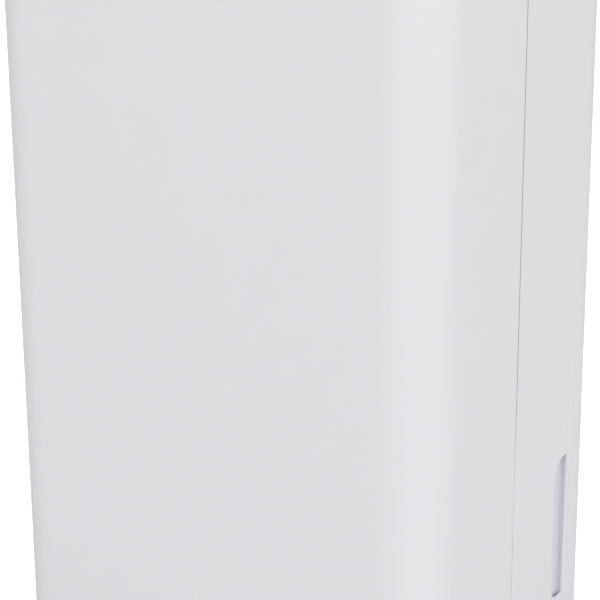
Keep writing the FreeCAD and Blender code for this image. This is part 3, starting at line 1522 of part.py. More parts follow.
def rear_fittings():
    """The continuous drain's spigot with its stopper, and the gland that the mains cord enters by."""
    spigot = Moulding("drain_spigot")
    spigot.pad("XZ", ("cup_floor - 12", "cup_floor + 1"), disc("port_x", "port_z", "spigot_radius - 0.5"))
    spigot.pad("XZ", ("cup_floor", "spigot_tip"), disc("port_x", "port_z", "spigot_radius"))
    spigot.pad(
        "XZ", ("cup_floor - wall - 2", "cup_floor - wall"), disc("port_x", "port_z", "spigot_radius + 3")
    )
    spigot.pocket("XZ", ("cup_floor - 10", "spigot_tip"), disc("port_x", "port_z", "spigot_bore"))
    stopper = Moulding("drain_plug")
    stopper.pad("XZ", ("spigot_tip - 10", "spigot_tip"), disc("port_x", "port_z", "spigot_bore - turn_gap"))
    stopper.pad(
        "XZ", ("spigot_tip + 0.2", "spigot_tip + 3"), disc("port_x", "port_z", "spigot_radius - 0.5")
    )
    stopper.pad("XZ", ("spigot_tip", "spigot_tip + 0.3"), disc("port_x", "port_z", "spigot_bore - turn_gap"))
    gland = Moulding("cord_gland")
    gland.pad("XZ", ("cup_floor", "cup_floor + 12"), disc("-port_x", "port_z", "gland_radius"))
    gland.pad("XZ", ("cup_floor - wall - 3", "cup_floor"), disc("-port_x", "port_z", "gland_radius - 2"))
    gland.pad("XZ", ("cup_floor - wall - 3", "cup_floor - wall"), disc("-port_x", "port_z", "gland_radius"))
    gland.pocket("XZ", ("cup_floor - wall - 3", "cup_floor + 12"), disc("-port_x", "port_z", "cord_bore"))


def write_parts():
    """Checks every object and writes each sub-part to its STEP file."""
    doc.recompute()
    failed = [o.Label for o in doc.Objects if {"Invalid", "Error"} & set(o.State)]
    if failed:
        raise ValueError(f"these objects failed: {failed}")
    os.makedirs("parts", exist_ok=True)
    for piece in PIECES:
        shape = piece.Shape
        if shape.isNull() or not shape.isValid() or not shape.Solids:
            raise ValueError(f"{piece.Label} has no valid solid")
    for piece in PIECES:
        piece.Shape.exportStep(f"parts/{piece.Label}.step")


front_cover()
rear_cover()
top_cover()
base_pan()
bulkhead()
coil_housing()
case_screws()
for corner, s, t in (
    ("front_left", -1, -1), ("front_right", 1, -1), ("rear_left", -1, 1), ("rear_right", 1, 1)
):
    castor(corner, s, t)
tank_bin()
tank_panel()
tank_lid()
tank_float()
intake_grille()
dust_filter()
outlet_grille()
louver_flap()
scroll()
fan_wheel()
fan_motor()
coil("condenser", "condenser_y", 3)
coil("evaporator", "evaporator_y", 3)
refrigerant_pipes()
liquid_line()
compressor()
compressor_mounts()
accumulator()
control_panel()
buttons()
control_board()
handle()
electrics()
sensors()
rear_fittings()
write_parts()
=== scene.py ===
"""Looks of a white compressor dehumidifier: its finishes, small fittings, studio and camera."""

from __future__ import annotations

import json
import logging
import math
from dataclasses import dataclass, field
from enum import Enum
from typing import Callable, Iterable, Sequence

import bmesh
import bpy
from mathutils import Matrix, Vector

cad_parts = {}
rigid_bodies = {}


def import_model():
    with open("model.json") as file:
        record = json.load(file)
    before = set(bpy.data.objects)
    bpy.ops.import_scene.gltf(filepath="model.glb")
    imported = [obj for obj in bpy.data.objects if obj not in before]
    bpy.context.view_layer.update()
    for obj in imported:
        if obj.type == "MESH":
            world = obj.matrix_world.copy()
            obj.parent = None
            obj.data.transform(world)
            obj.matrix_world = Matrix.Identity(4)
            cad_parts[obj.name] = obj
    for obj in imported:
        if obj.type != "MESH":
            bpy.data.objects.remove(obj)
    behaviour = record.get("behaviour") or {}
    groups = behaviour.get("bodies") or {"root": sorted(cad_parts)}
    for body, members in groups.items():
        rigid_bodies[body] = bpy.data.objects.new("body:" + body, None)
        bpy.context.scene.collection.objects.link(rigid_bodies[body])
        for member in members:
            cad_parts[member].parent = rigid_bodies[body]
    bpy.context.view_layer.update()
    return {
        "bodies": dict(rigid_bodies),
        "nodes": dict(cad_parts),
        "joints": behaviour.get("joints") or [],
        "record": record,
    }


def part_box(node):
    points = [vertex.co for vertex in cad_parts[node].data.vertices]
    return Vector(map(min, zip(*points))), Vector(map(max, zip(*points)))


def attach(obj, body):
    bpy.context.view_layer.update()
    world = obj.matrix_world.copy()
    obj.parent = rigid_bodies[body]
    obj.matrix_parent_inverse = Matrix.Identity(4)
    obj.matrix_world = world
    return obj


LOG = logging.getLogger("dehumidifier")
MM = 0.001

Value = "Channel | float"


# ---------------------------------------------------------------- shader maths
class Channel:
    """A number that varies over a surface: one output socket, with Python's operators."""

    def __init__(self, graph: "Graph", socket: bpy.types.NodeSocket) -> None:
        """Wraps a socket of a graph.

        Args:
            graph: the graph that the socket is in.
            socket: the output socket.
        """
        self.graph = graph
        self.socket = socket

    def _math(self, operation: str, *values: Value) -> "Channel":
        """One Math node.

        Args:
            operation: the Math node's operation.
            values: its inputs, in order.

        Returns:
            The node's output.
        """
        return self.graph.node("ShaderNodeMath", {"operation": operation}, dict(enumerate(values)))

    def __add__(self, other: Value) -> "Channel":
        """self + other."""
        return self._math("ADD", self, other)

    __radd__ = __add__

    def __sub__(self, other: Value) -> "Channel":
        """self - other."""
        return self._math("SUBTRACT", self, other)

    def __rsub__(self, other: Value) -> "Channel":
        """other - self."""
        return self._math("SUBTRACT", other, self)

    def __mul__(self, other: Value) -> "Channel":
        """self * other."""
        return self._math("MULTIPLY", self, other)

    __rmul__ = __mul__

    def __truediv__(self, other: Value) -> "Channel":
        """self / other."""
        return self._math("DIVIDE", self, other)

    def __pow__(self, other: Value) -> "Channel":
        """self ** other."""
        return self._math("POWER", self, other)

    def above(self, edge: Value) -> "Channel":
        """1 where self is more than edge, else 0."""
        return self._math("GREATER_THAN", self, edge)

    def wave(self) -> "Channel":
        """The sine of self."""
        return self._math("SINE", self)

    def size(self) -> "Channel":
        """self without its sign."""
        return self._math("ABSOLUTE", self)

    def clamped(self) -> "Channel":
        """self kept between 0 and 1."""
        return self.graph.node("ShaderNodeClamp", {}, {"Value": self})

    def ramp(self, low: float, high: float) -> "Channel":
        """A smooth step.

        Args:
            low: where it leaves 0.
            high: where it reaches 1.

        Returns:
            0 below low, 1 above high, smooth between.
        """
        settings = {"interpolation_type": "SMOOTHSTEP"}
        return self.graph.node(
            "ShaderNodeMapRange", settings, {"Value": self, "From Min": low, "From Max": high}
        )


class Graph:
    """A node tree of a material or a world, filled through one method."""

    def __init__(self, owner: bpy.types.Material | bpy.types.World) -> None:
        """Empties the owner's tree.

        Args:
            owner: the material or world.
        """
        owner.use_nodes = True
        self.tree = owner.node_tree
        self.tree.nodes.clear()

    def node(
        self, kind: str, settings: dict, inputs: dict, out: int | str | None = 0
    ) -> "Channel | None":
        """Adds a node.

        Args:
            kind: the node's type.
            settings: its properties, set first; a ramp's stops are under "stops".
            inputs: values or channels by socket name or number.
            out: which output is returned, None for a node that has none.

        Returns:
            The output, as a channel.
        """
        node = self.tree.nodes.new(kind)
        for key, value in settings.items():
            if key == "stops":
                self._set_stops(node.color_ramp, value)
            else:
                setattr(node, key, value)
        for key, value in inputs.items():
            socket = node.inputs[key]
            if isinstance(value, Channel):
                self.tree.links.new(value.socket, socket)
            else:
                socket.default_value = value
        return None if out is None else Channel(self, node.outputs[out])

    @staticmethod
    def _set_stops(
        ramp: bpy.types.ColorRamp, stops: Sequence[tuple[float, Sequence[float]]]
    ) -> None:
        """Sets a colour ramp.

        Args:
            ramp: the ramp.
            stops: pairs of place and colour.
        """
        while len(ramp.elements) < len(stops):
            ramp.elements.new(0.5)
        for element, (place, colour) in zip(ramp.elements, stops):
            element.position = place
            element.color = (*colour, 1.0)

    def seen_mix(self, hidden: Channel, seen: Channel) -> Channel:
        """One shader for the camera's rays and another for every other ray.

        Args:
            hidden: what other rays meet.
            seen: what the camera sees.

        Returns:
            The mixed shader.
        """
        camera_ray = self.node("ShaderNodeLightPath", {}, {}, "Is Camera Ray")
        return self.node("ShaderNodeMixShader", {}, {0: camera_ray, 1: hidden, 2: seen})

    def place(self) -> Channel:
        """Object coordinates, in metres."""
        return self.node("ShaderNodeTexCoord", {}, {}, "Object")

    def axis(self, name: str) -> Channel:
        """One of the object coordinates.

        Args:
            name: X, Y or Z.

        Returns:
            That coordinate, in metres.
        """
        return self.node("ShaderNodeSeparateXYZ", {}, {"Vector": self.place()}, name)

    def noise(
        self, grain: float, detail: float = 2.0, stretch: Sequence[float] = (1, 1, 1)
    ) -> Channel:
        """Smooth noise.

        Args:
            grain: the size of a blob, in metres.
            detail: octaves.
            stretch: how much denser the noise is along each axis.

        Returns:
            A channel round 0.5.
        """
        place = self.node(
            "ShaderNodeMapping", {}, {"Vector": self.place(), "Scale": tuple(stretch)}
        )
        inputs = {"Vector": place, "Scale": 1.0 / grain, "Detail": detail, "Roughness": 0.5}
        return self.node("ShaderNodeTexNoise", {}, inputs, "Fac")

    def mix(
        self, share: Value, first: Sequence[float] | Channel, second: Sequence[float] | Channel
    ) -> Channel:
        """Two colours mixed.

        Args:
            share: 0 for the first, 1 for the second.
            first: a colour or a channel.
            second: a colour or a channel.

        Returns:
            The colour.
        """
        node = self.tree.nodes.new("ShaderNodeMix")
        node.data_type = "RGBA"
        named = {"Factor_Float": share, "A_Color": first, "B_Color": second}
        for socket in node.inputs:
            if socket.identifier not in named:
                continue
            value = named[socket.identifier]
            if isinstance(value, Channel):
                self.tree.links.new(value.socket, socket)
            else:
                socket.default_value = value if isinstance(value, (int, float)) else (*value, 1.0)
        result = [s for s in node.outputs if s.identifier == "Result_Color"][0]
        return Channel(self, result)

    def surface(self, **values: "Channel | float | Sequence[float]") -> Channel:
        """A Principled surface, wired to the output.

        Args:
            values: by socket name, with underscores for spaces.

        Returns:
            The shader.
        """
        inputs = {
            key.replace("_", " "): (*value, 1.0) if isinstance(value, tuple) else value
            for key, value in values.items()
        }
        shader = self.node("ShaderNodeBsdfPrincipled", {}, inputs)
        self.finish(shader)
        return shader

    def finish(self, shader: Channel, output: str = "ShaderNodeOutputMaterial") -> None:
        """Wires a shader to the tree's output.

        Args:
            shader: the shader.
            output: the output node's type.
        """
        for old in [node for node in self.tree.nodes if node.bl_idname == output]:
            self.tree.nodes.remove(old)
        self.node(output, {}, {"Surface": shader}, None)

    def relief(self, height: Channel, depth: float, strength: float = 1.0) -> Channel:
        """A bump.

        Args:
            height: the relief, 0 to 1.
            depth: how deep 0 to 1 is, in metres.
            strength: the Bump node's strength.

        Returns:
            The normal.
        """
        return self.node(
            "ShaderNodeBump",
            {},
            {"Height": height, "Distance": depth, "Strength": strength},
            "Normal",
        )


# ---------------------------------------------------------------- finishes
@dataclass(frozen=True)
class Finish:
    """A named finish that makes its material once."""

    name: str
    slot: str
    colour: tuple[float, float, float]
    roughness: float = 0.4

    def material(self) -> bpy.types.Material:
        """The finish's material, made on first use."""
        found = bpy.data.materials.get(self.name)
        if found is not None:
            return found
        made = bpy.data.materials.new(self.name)
        self.paint(Graph(made))
        return made

    def paint(self, graph: Graph) -> None:
        """Fills the node tree.

        Args:
            graph: the empty tree.
        """
        raise NotImplementedError

    def shade(self, graph: Graph, share: Channel, spread: float) -> Channel:
        """The colour, a little lighter and darker over the surface.

        Args:
            graph: the tree.
            share: what decides, round 0.5.
            spread: how far it goes each way.

        Returns:
            The colour.
        """
        darker = tuple(c * (1 - spread) for c in self.colour)
        lighter = tuple(min(1.0, c * (1 + spread)) for c in self.colour)
        return graph.mix(share, darker, lighter)


@dataclass(frozen=True)
class Moulded(Finish):
    """Injection-moulded plastic with a fine spark-eroded grain and a slow wave in its gloss."""

    grain: float = 0.0006
    depth: float = 0.00002
    spread: float = 0.01
    coat: float = 0.0
    dust: float = 0.0

    def paint(self, graph: Graph) -> None:
        """Grain, flow mottling, and a little dust on what faces up."""
        grain = graph.noise(self.grain, 2.0)
        flow = graph.noise(0.09, 2.0, (1, 1, 0.35))
        colour = self.shade(graph, flow * 0.7 + grain * 0.3, self.spread)
        roughness = self.roughness + (flow - 0.5) * 0.08 + (grain - 0.5) * 0.06
        if self.dust:
            normal = graph.node("ShaderNodeNewGeometry", {}, {}, "Normal")
            up = graph.node("ShaderNodeSeparateXYZ", {}, {"Vector": normal}, "Z")
            settled = up.ramp(0.6, 1.0) * graph.noise(0.004, 4.0).ramp(0.45, 0.75) * self.dust
            colour = graph.mix(settled, colour, (0.52, 0.50, 0.47))
            roughness = roughness + settled * 0.3
        graph.surface(
            Base_Color=self.with_painted_shade(graph, colour),
            Roughness=roughness,
            IOR=1.5,
            Coat_Weight=self.coat,
            Coat_Roughness=0.12,
            Normal=graph.relief(grain * 0.6 + flow * 0.4, self.depth, 0.6),
        )

    def with_painted_shade(self, graph: Graph, colour: Channel) -> Channel:
        """The colour with any painted shade; the plain moulding has none.

        Args:
            graph: the tree.
            colour: the colour so far.

        Returns:
            The colour.
        """
        return colour


@dataclass(frozen=True)
class JointShaded(Moulded):
    """A shell's moulding, with painted shade in the joint line between the front and the rear
    shell.
    """

    reach: float = 0.50 * MM
    set_forward: float = 0.35 * MM
    shade_left: float = 0.66
    tight_below: float = 0.17
    open_above: float = 0.27
    least_shade: float = 0.1

    def with_painted_shade(self, graph: Graph, colour: Channel) -> Channel:
        """Paints shade on the walls of the joint, less of it where the joint is tight near the
        base.

        Args:
            graph: the tree.
            colour: the colour so far.

        Returns:
            The colour.
        """
        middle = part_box("rear_cover")[0].y - self.set_forward
        away = (graph.axis("Y") - middle).size()
        height = graph.axis("Z").ramp(self.tight_below, self.open_above)
        shade_by_height = height * (1 - self.least_shade) + self.least_shade
        # painted shade: the joint's walls darkened where shade falls in the groove between the
        # shells
        joint_shade_mask = (1 - away.ramp(self.reach, 1.5 * self.reach)) * shade_by_height
        return graph.mix(joint_shade_mask, colour, tuple(c * self.shade_left for c in self.colour))


@dataclass(frozen=True)
class Translucent(Finish):
    """Clear-tinted polypropylene: milky, waxy and slightly see-through."""

    clearness: float = 0.25
    scatter: float = 0.2

    def paint(self, graph: Graph) -> None:
        """Milky body with flow lines."""
        flow = graph.noise(0.05, 3.0, (1, 1, 0.3))
        grain = graph.noise(0.0008, 1.0)
        colour = self.shade(graph, flow, 0.05)
        graph.surface(
            Base_Color=colour,
            Roughness=self.roughness + (flow - 0.5) * 0.1,
            IOR=1.49,
            Transmission_Weight=self.clearness,
            Subsurface_Weight=self.scatter,
            Subsurface_Scale=0.02,
            Normal=graph.relief(grain * 0.4 + flow * 0.6, 0.00004, 0.5),
        )


@dataclass(frozen=True)
class Rolled(Finish):
    """Sheet or turned metal with fine lines along one axis."""

    lines: tuple[float, float, float] = (1.0, 1.0, 0.05)
    metal: float = 1.0
    stain: float = 0.15

    def paint(self, graph: Graph) -> None:
        """Drawn lines, a cloudy surface and cloudy stains."""
        lines = graph.noise(0.0008, 2.0, self.lines)
        cloud = graph.noise(0.018, 4.0)
        stained = tuple(c * 0.5 for c in self.colour)
        colour = graph.mix(
            cloud.ramp(0.4, 0.8) * self.stain, self.shade(graph, lines, 0.12), stained
        )
        roughness = self.roughness + (lines - 0.5) * 0.2 + (cloud - 0.5) * 0.25
        normal = graph.relief(lines, 0.00003, 0.5)
        graph.surface(Base_Color=colour, Metallic=self.metal, Roughness=roughness, Normal=normal)


@dataclass(frozen=True)
class Elastomer(Finish):
    """Rubber: dark, matt, with a fine blush."""

    def paint(self, graph: Graph) -> None:
        """Fine pits and a greyish bloom."""
        pits = graph.noise(0.0005, 3.0)
        bloom = graph.noise(0.007, 3.0).ramp(0.45, 0.8)
        colour = graph.mix(
            bloom * 0.35, self.shade(graph, pits, 0.2), tuple(c * 2.2 + 0.02 for c in self.colour)
        )
        roughness = self.roughness + (pits - 0.5) * 0.15
        graph.surface(
            Base_Color=colour,
            Roughness=roughness,
            IOR=1.45,
            Normal=graph.relief(pits, 0.00005, 0.6),
        )


@dataclass(frozen=True)
class Woven(Finish):
    """A net of crossed threads."""

    pitch: float = 0.0016

    def paint(self, graph: Graph) -> None:
        """Threads each way, with the gaps darker and sunk."""
        turn = 2 * math.pi / self.pitch
        across = (graph.axis("X") * turn).wave().size()
        upward = (graph.axis("Z") * turn).wave().size()
        thread = (across.ramp(0.55, 0.95) + upward.ramp(0.55, 0.95)).clamped()
        lint = graph.noise(0.02, 4.0).ramp(0.55, 0.85)
        body = graph.mix(thread, tuple(c * 0.25 for c in self.colour), self.colour)
        colour = graph.mix(lint * 0.25, body, (0.35, 0.34, 0.32))
        roughness = 0.75 + (thread - 0.5) * 0.1
        graph.surface(
            Base_Color=colour, Roughness=roughness, Normal=graph.relief(thread, 0.0003, 0.8)
        )


@dataclass(frozen=True)
class CircuitBoard(Finish):
    """Green solder mask over copper tracks, with tinned pads."""

    def paint(self, graph: Graph) -> None:
        """Tracks in two directions and a scatter of pads."""
        tracks = {"Vector": graph.place(), "Scale": 180.0, "Mortar Size": 0.035}
        cells = graph.node("ShaderNodeTexBrick", {"offset": 0.5}, tracks, "Fac")
        spots = {"Vector": graph.place(), "Scale": 260.0}
        pads = 1 - graph.node(
            "ShaderNodeTexVoronoi", {"feature": "F1"}, spots, "Distance"
        ).ramp(0.12, 0.2)
        mask = graph.mix(cells, self.colour, tuple(c * 1.7 + 0.01 for c in self.colour))
        graph.surface(
            Base_Color=graph.mix(pads, mask, (0.7, 0.69, 0.66)),
            Metallic=pads * 0.9,
            Roughness=0.32 + pads * 0.1,
            Normal=graph.relief(cells + pads, 0.0001, 0.5),
        )


@dataclass(frozen=True)
class Lamp(Finish):
    """A lit segment or lamp behind a smoked window."""

    glow: float = 2.0

    def paint(self, graph: Graph) -> None:
        """An even light, a little uneven from its diffuser."""
        cloud = graph.noise(0.002, 1.0)
        light = self.shade(graph, cloud, 0.12)
        graph.surface(
            Base_Color=light,
            Emission_Color=light,
            Emission_Strength=self.glow,
            Roughness=self.roughness,
        )


class Stock(Enum):
    """The finishes of this machine."""

    SHELL = Moulded(
        "shell white", "white_abs", (0.781, 0.789, 0.804), 0.36, spread=0.008, coat=0.10
    )
    # shell white with painted shade along the joint between the front and the rear shell
    JOINED = JointShaded(
        "shell white, joint_shade_painted", "white_abs", (0.781, 0.789, 0.804), 0.36, spread=0.008, coat=0.10
    )
    TOP = Moulded("top white", "white_abs", (0.775, 0.782, 0.79), 0.38, spread=0.008, dust=0.05)
    SKIRT = Moulded(
        "skirt grey",
        "base_grey",
        (0.50, 0.51, 0.52),
        0.55,
        grain=0.0011,
        depth=0.00006,
        spread=0.03,
    )
    HANDLE = Moulded(
        "handle grey",
        "base_grey",
        (0.46, 0.47, 0.48),
        0.5,
        grain=0.0009,
        depth=0.00005,
        spread=0.03,
        dust=0.06,
    )
    VANES = Moulded("vane grey", "base_grey", (0.42, 0.43, 0.44), 0.5, spread=0.03, dust=0.15)
    FASCIA = Moulded(
        "fascia black",
        "black_abs",
        (0.012, 0.012, 0.014),
        0.12,
        depth=0.000004,
        coat=0.6,
        dust=0.03,
    )
    WINDOW = Moulded(
        "window smoke", "window", (0.006, 0.007, 0.010), 0.05, depth=0.000002, coat=1.0
    )
    KEY = Moulded("key grey", "button", (0.62, 0.63, 0.64), 0.33, spread=0.01, coat=0.15)
    PRINT = Moulded("print dark", "black_abs", (0.03, 0.03, 0.035), 0.45, spread=0.05)
    BIN = Translucent(
        "bin blue", "tank_blue", (0.745, 0.742, 0.815), 0.3, clearness=0.0, scatter=0.0
    )
    INNER = Moulded(
        "inner white",
        "inner_white",
        (0.70, 0.70, 0.68),
        0.6,
        grain=0.0014,
        depth=0.00008,
        spread=0.04,
    )
    FLOAT = Moulded(
        "float foam",
        "float_white",
        (0.80, 0.80, 0.77),
        0.75,
        grain=0.0022,
        depth=0.0002,
        spread=0.05,
    )
    FILTER = Moulded("filter frame", "filter_frame", (0.10, 0.105, 0.11), 0.5, spread=0.05)
    NET = Woven("filter net", "filter_mesh", (0.10, 0.11, 0.12), 0.7)
    FAN = Moulded("fan grey", "fan_plastic", (0.55, 0.56, 0.55), 0.45, spread=0.04, depth=0.00004)
    ZINC = Rolled("zinc sheet", "steel_zinc", (0.50, 0.52, 0.53), 0.4, stain=0.3)
    BLACK = Rolled("black enamel", "black_steel", (0.02, 0.02, 0.021), 0.3, metal=0.0, stain=0.2)
    COPPER = Rolled(
        "copper tube", "copper", (0.78, 0.37, 0.22), 0.28, lines=(0.3, 0.3, 0.3), stain=0.45
    )
    FINS = Rolled(
        "fin stock", "fin_aluminium", (0.80, 0.82, 0.84), 0.35, lines=(1, 1, 0.2), stain=0.1
    )
    STEEL = Rolled("bright steel", "steel", (0.60, 0.60, 0.60), 0.3, lines=(1, 0.1, 1))
    BOARD = CircuitBoard("board green", "board", (0.015, 0.11, 0.05), 0.35)
    CAN = Moulded("capacitor can", "capacitor", (0.70, 0.70, 0.68), 0.3, coat=0.2)
    RUBBER = Elastomer("black rubber", "rubber", (0.02, 0.02, 0.02), 0.7)
    NYLON = Moulded(
        "castor nylon", "castor_black", (0.025, 0.025, 0.027), 0.45, spread=0.1, depth=0.00005
    )
    TYRE = Elastomer("castor tyre", "castor_tyre", (0.07, 0.07, 0.075), 0.6)
    DIGIT = Lamp("digit light", "window", (0.62, 0.86, 1.0), 0.3, 1.6)
    LED = Lamp("lamp green", "window", (0.18, 0.95, 0.35), 0.3, 2.2)

    def dress(self, *objects: bpy.types.Object) -> None:
        """Gives objects this finish.

        Args:
            objects: the meshes.
        """
        for thing in objects:
            thing.data.materials.clear()
            thing.data.materials.append(self.value.material())


# ---------------------------------------------------------------- mesh making
@dataclass
class Maker:
    """Turns a bmesh into a finished piece of the object."""

    name: str
    finish: Stock
    body: str

    def piece(
        self, build: Callable[[bmesh.types.BMesh], None], smooth: float = 35.0
    ) -> bpy.types.Object:
        """Makes the piece.

        Args:
            build: fills the bmesh, in metres, in the row frame.
            smooth: edges sharper than this, in degrees, stay sharp.

        Returns:
            The piece, dressed and riding on its body.
        """
        mesh = bmesh.new()
        build(mesh)
        bmesh.ops.remove_doubles(mesh, verts=mesh.verts, dist=1e-6)
        bmesh.ops.recalc_face_normals(mesh, faces=mesh.faces)
        for face in mesh.faces:
            face.smooth = True
        for edge in mesh.edges:
            edge.smooth = len(
                edge.link_faces
            ) == 2 and edge.calc_face_angle(0.0) < math.radians(smooth)
        data = bpy.data.meshes.new(self.name)
        mesh.to_mesh(data)
        mesh.free()
        made = bpy.data.objects.new(self.name, data)
        bpy.context.scene.collection.objects.link(made)
        self.finish.dress(made)
        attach(made, self.body)
        return made


def block(
    mesh: bmesh.types.BMesh, low: Sequence[float], high: Sequence[float], round_by: float = 0.0
) -> None:
    """Adds a box, with its edges rounded if asked.

    Args:
        mesh: the bmesh.
        low: lowest corner.
        high: highest corner.
        round_by: radius of the edges.
    """
    middle = (Vector(low) + Vector(high)) / 2
    size = Vector(high) - Vector(low)
    place = Matrix.Translation(middle) @ Matrix.Diagonal((*size, 1.0))
    made = bmesh.ops.create_cube(mesh, size=1.0, matrix=place)["verts"]
    if round_by:
        edges = list({edge for vert in made for edge in vert.link_edges})
        bevel(mesh, edges, round_by, 3)


def bevel(
    mesh: bmesh.types.BMesh, edges: Iterable[bmesh.types.BMEdge], by: float, segments: int
) -> None:
    """Rounds edges.

    Args:
        mesh: the bmesh.
        edges: which.
        by: how far in from the edge.
        segments: faces across the rounding.
    """
    bmesh.ops.bevel(
        mesh,
        geom=list(edges),
        offset=by,
        segments=segments,
        profile=0.5,
        affect="EDGES",
        material=-1,
    )


def disc(
    mesh: bmesh.types.BMesh,
    at: Sequence[float],
    radius: float,
    thick: float,
    sides: int = 32,
    turn: Matrix | None = None,
) -> list[bmesh.types.BMVert]:
    """Adds a short cylinder.

    Args:
        mesh: the bmesh.
        at: its middle.
        radius: its radius.
        thick: its height.
        sides: faces round it.
        turn: turns it off the Z axis.

    Returns:
        Its vertices.
    """
    place = Matrix.Translation(at) @ (turn or Matrix.Identity(4))
    made = bmesh.ops.create_cone(
        mesh,
        cap_ends=True,
        segments=sides,
        radius1=radius,
        radius2=radius,
        depth=thick,
        matrix=place,
    )
    return made["verts"]


def lathe(mesh: bmesh.types.BMesh, outline: Sequence[tuple[float, float]], centre: Sequence[float],
          axis: Sequence[float], steps: int = 48) -> None:
    """Spins an outline into a closed ring or knob.

    Args:
        mesh: the bmesh.
        outline: pairs of radius and distance along the axis, closed on itself.
        centre: a point on the axis.
        axis: the axis.
        steps: faces round it.
    """
    way = Vector(axis).normalized()
    out = way.orthogonal().normalized()
    verts = [mesh.verts.new(Vector(centre) + out * r + way * h) for r, h in outline]
    edges = [mesh.edges.new((a, b)) for a, b in zip(verts, verts[1:] + verts[:1])]
    bmesh.ops.spin(
        mesh,
        geom=verts + edges,
        cent=Vector(centre),
        axis=way,
        angle=2 * math.pi,
        steps=steps,
        use_merge=True,
    )


def middle_of(node: str) -> Vector:
    """The middle of a node's box, in metres."""
    low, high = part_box(node)
    return (low + high) / 2


# ---------------------------------------------------------------- sub-assemblies
@dataclass
class Assembly:
    """A sub-assembly: which nodes take which finish, and what it adds."""

    frame: dict
    finishes: dict[str, Stock] = field(default_factory=dict)

    def dress(self) -> None:
        """Gives every CAD node of the sub-assembly its finish."""
        for node, stock in self.finishes.items():
            stock.dress(self.frame["nodes"][node])

    def build(self) -> list[bpy.types.Object]:
        """Makes the extra pieces.

        Returns:
            The pieces.
        """
        return []


@dataclass
class Cabinet(Assembly):
    """The shells, the base, the bay wall and the screws."""

    finishes: dict[str, Stock] = field(
        default_factory=lambda: {
            # both shells carry painted shade along their joint
            "front_cover": Stock.JOINED,
            "rear_cover": Stock.JOINED,
            "top_cover": Stock.TOP,
            "base_pan": Stock.SKIRT,
            "bay_wall": Stock.INNER,
            "case_screws": Stock.STEEL,
            "drain_spigot": Stock.SKIRT,
            "drain_plug": Stock.RUBBER,
            "cord_gland": Stock.RUBBER,
            "humidity_sensor": Stock.INNER,
        }
    )


@dataclass
class WaterTank(Assembly):
    """The drawer tank with its lid and float."""

    finishes: dict[str, Stock] = field(
        default_factory=lambda: {
            "tank_bin": Stock.BIN,
            "tank_panel": Stock.SHELL,
            "tank_lid": Stock.INNER,
            "tank_float": Stock.FLOAT,
            "tank_sensor": Stock.NYLON,
        }
    )


@dataclass
class AirPath(Assembly):
    """Intake, filter, fan and outlet."""

    finishes: dict[str, Stock] = field(
        default_factory=lambda: {
            "intake_grille": Stock.SHELL,
            "filter_frame": Stock.FILTER,
            "filter_mesh": Stock.NET,
            "louver_flap": Stock.TOP,
            "outlet_grille": Stock.VANES,
            "scroll_front_half": Stock.FAN,
            "scroll_rear_half": Stock.FAN,
            "fan_wheel": Stock.FAN,
            "fan_motor": Stock.ZINC,
            "motor_shaft": Stock.STEEL,
            "coil_housing": Stock.INNER,
            "drip_tray": Stock.INNER,
        }
    )


@dataclass
class Refrigeration(Assembly):
    """Compressor, coils and pipes."""

    finishes: dict[str, Stock] = field(
        default_factory=lambda: {
            "compressor": Stock.BLACK,
            "accumulator": Stock.BLACK,
            "compressor_grommets": Stock.RUBBER,
            "compressor_studs": Stock.STEEL,
            "condenser_fins": Stock.FINS,
            "evaporator_fins": Stock.FINS,
            "condenser_tube": Stock.COPPER,
            "evaporator_tube": Stock.COPPER,
            "discharge_pipe": Stock.COPPER,
            "suction_pipe": Stock.COPPER,
            "capillary_tube": Stock.COPPER,
            "filter_drier": Stock.COPPER,
        }
    )


class Mark(Enum):
    """The plain symbols on the keys, each with the key that carries it."""

    POWER = "power"
    MODE = "mode"
    TIMER = "timer"
    SPEED = "speed"
    HUMIDITY = "humidity"


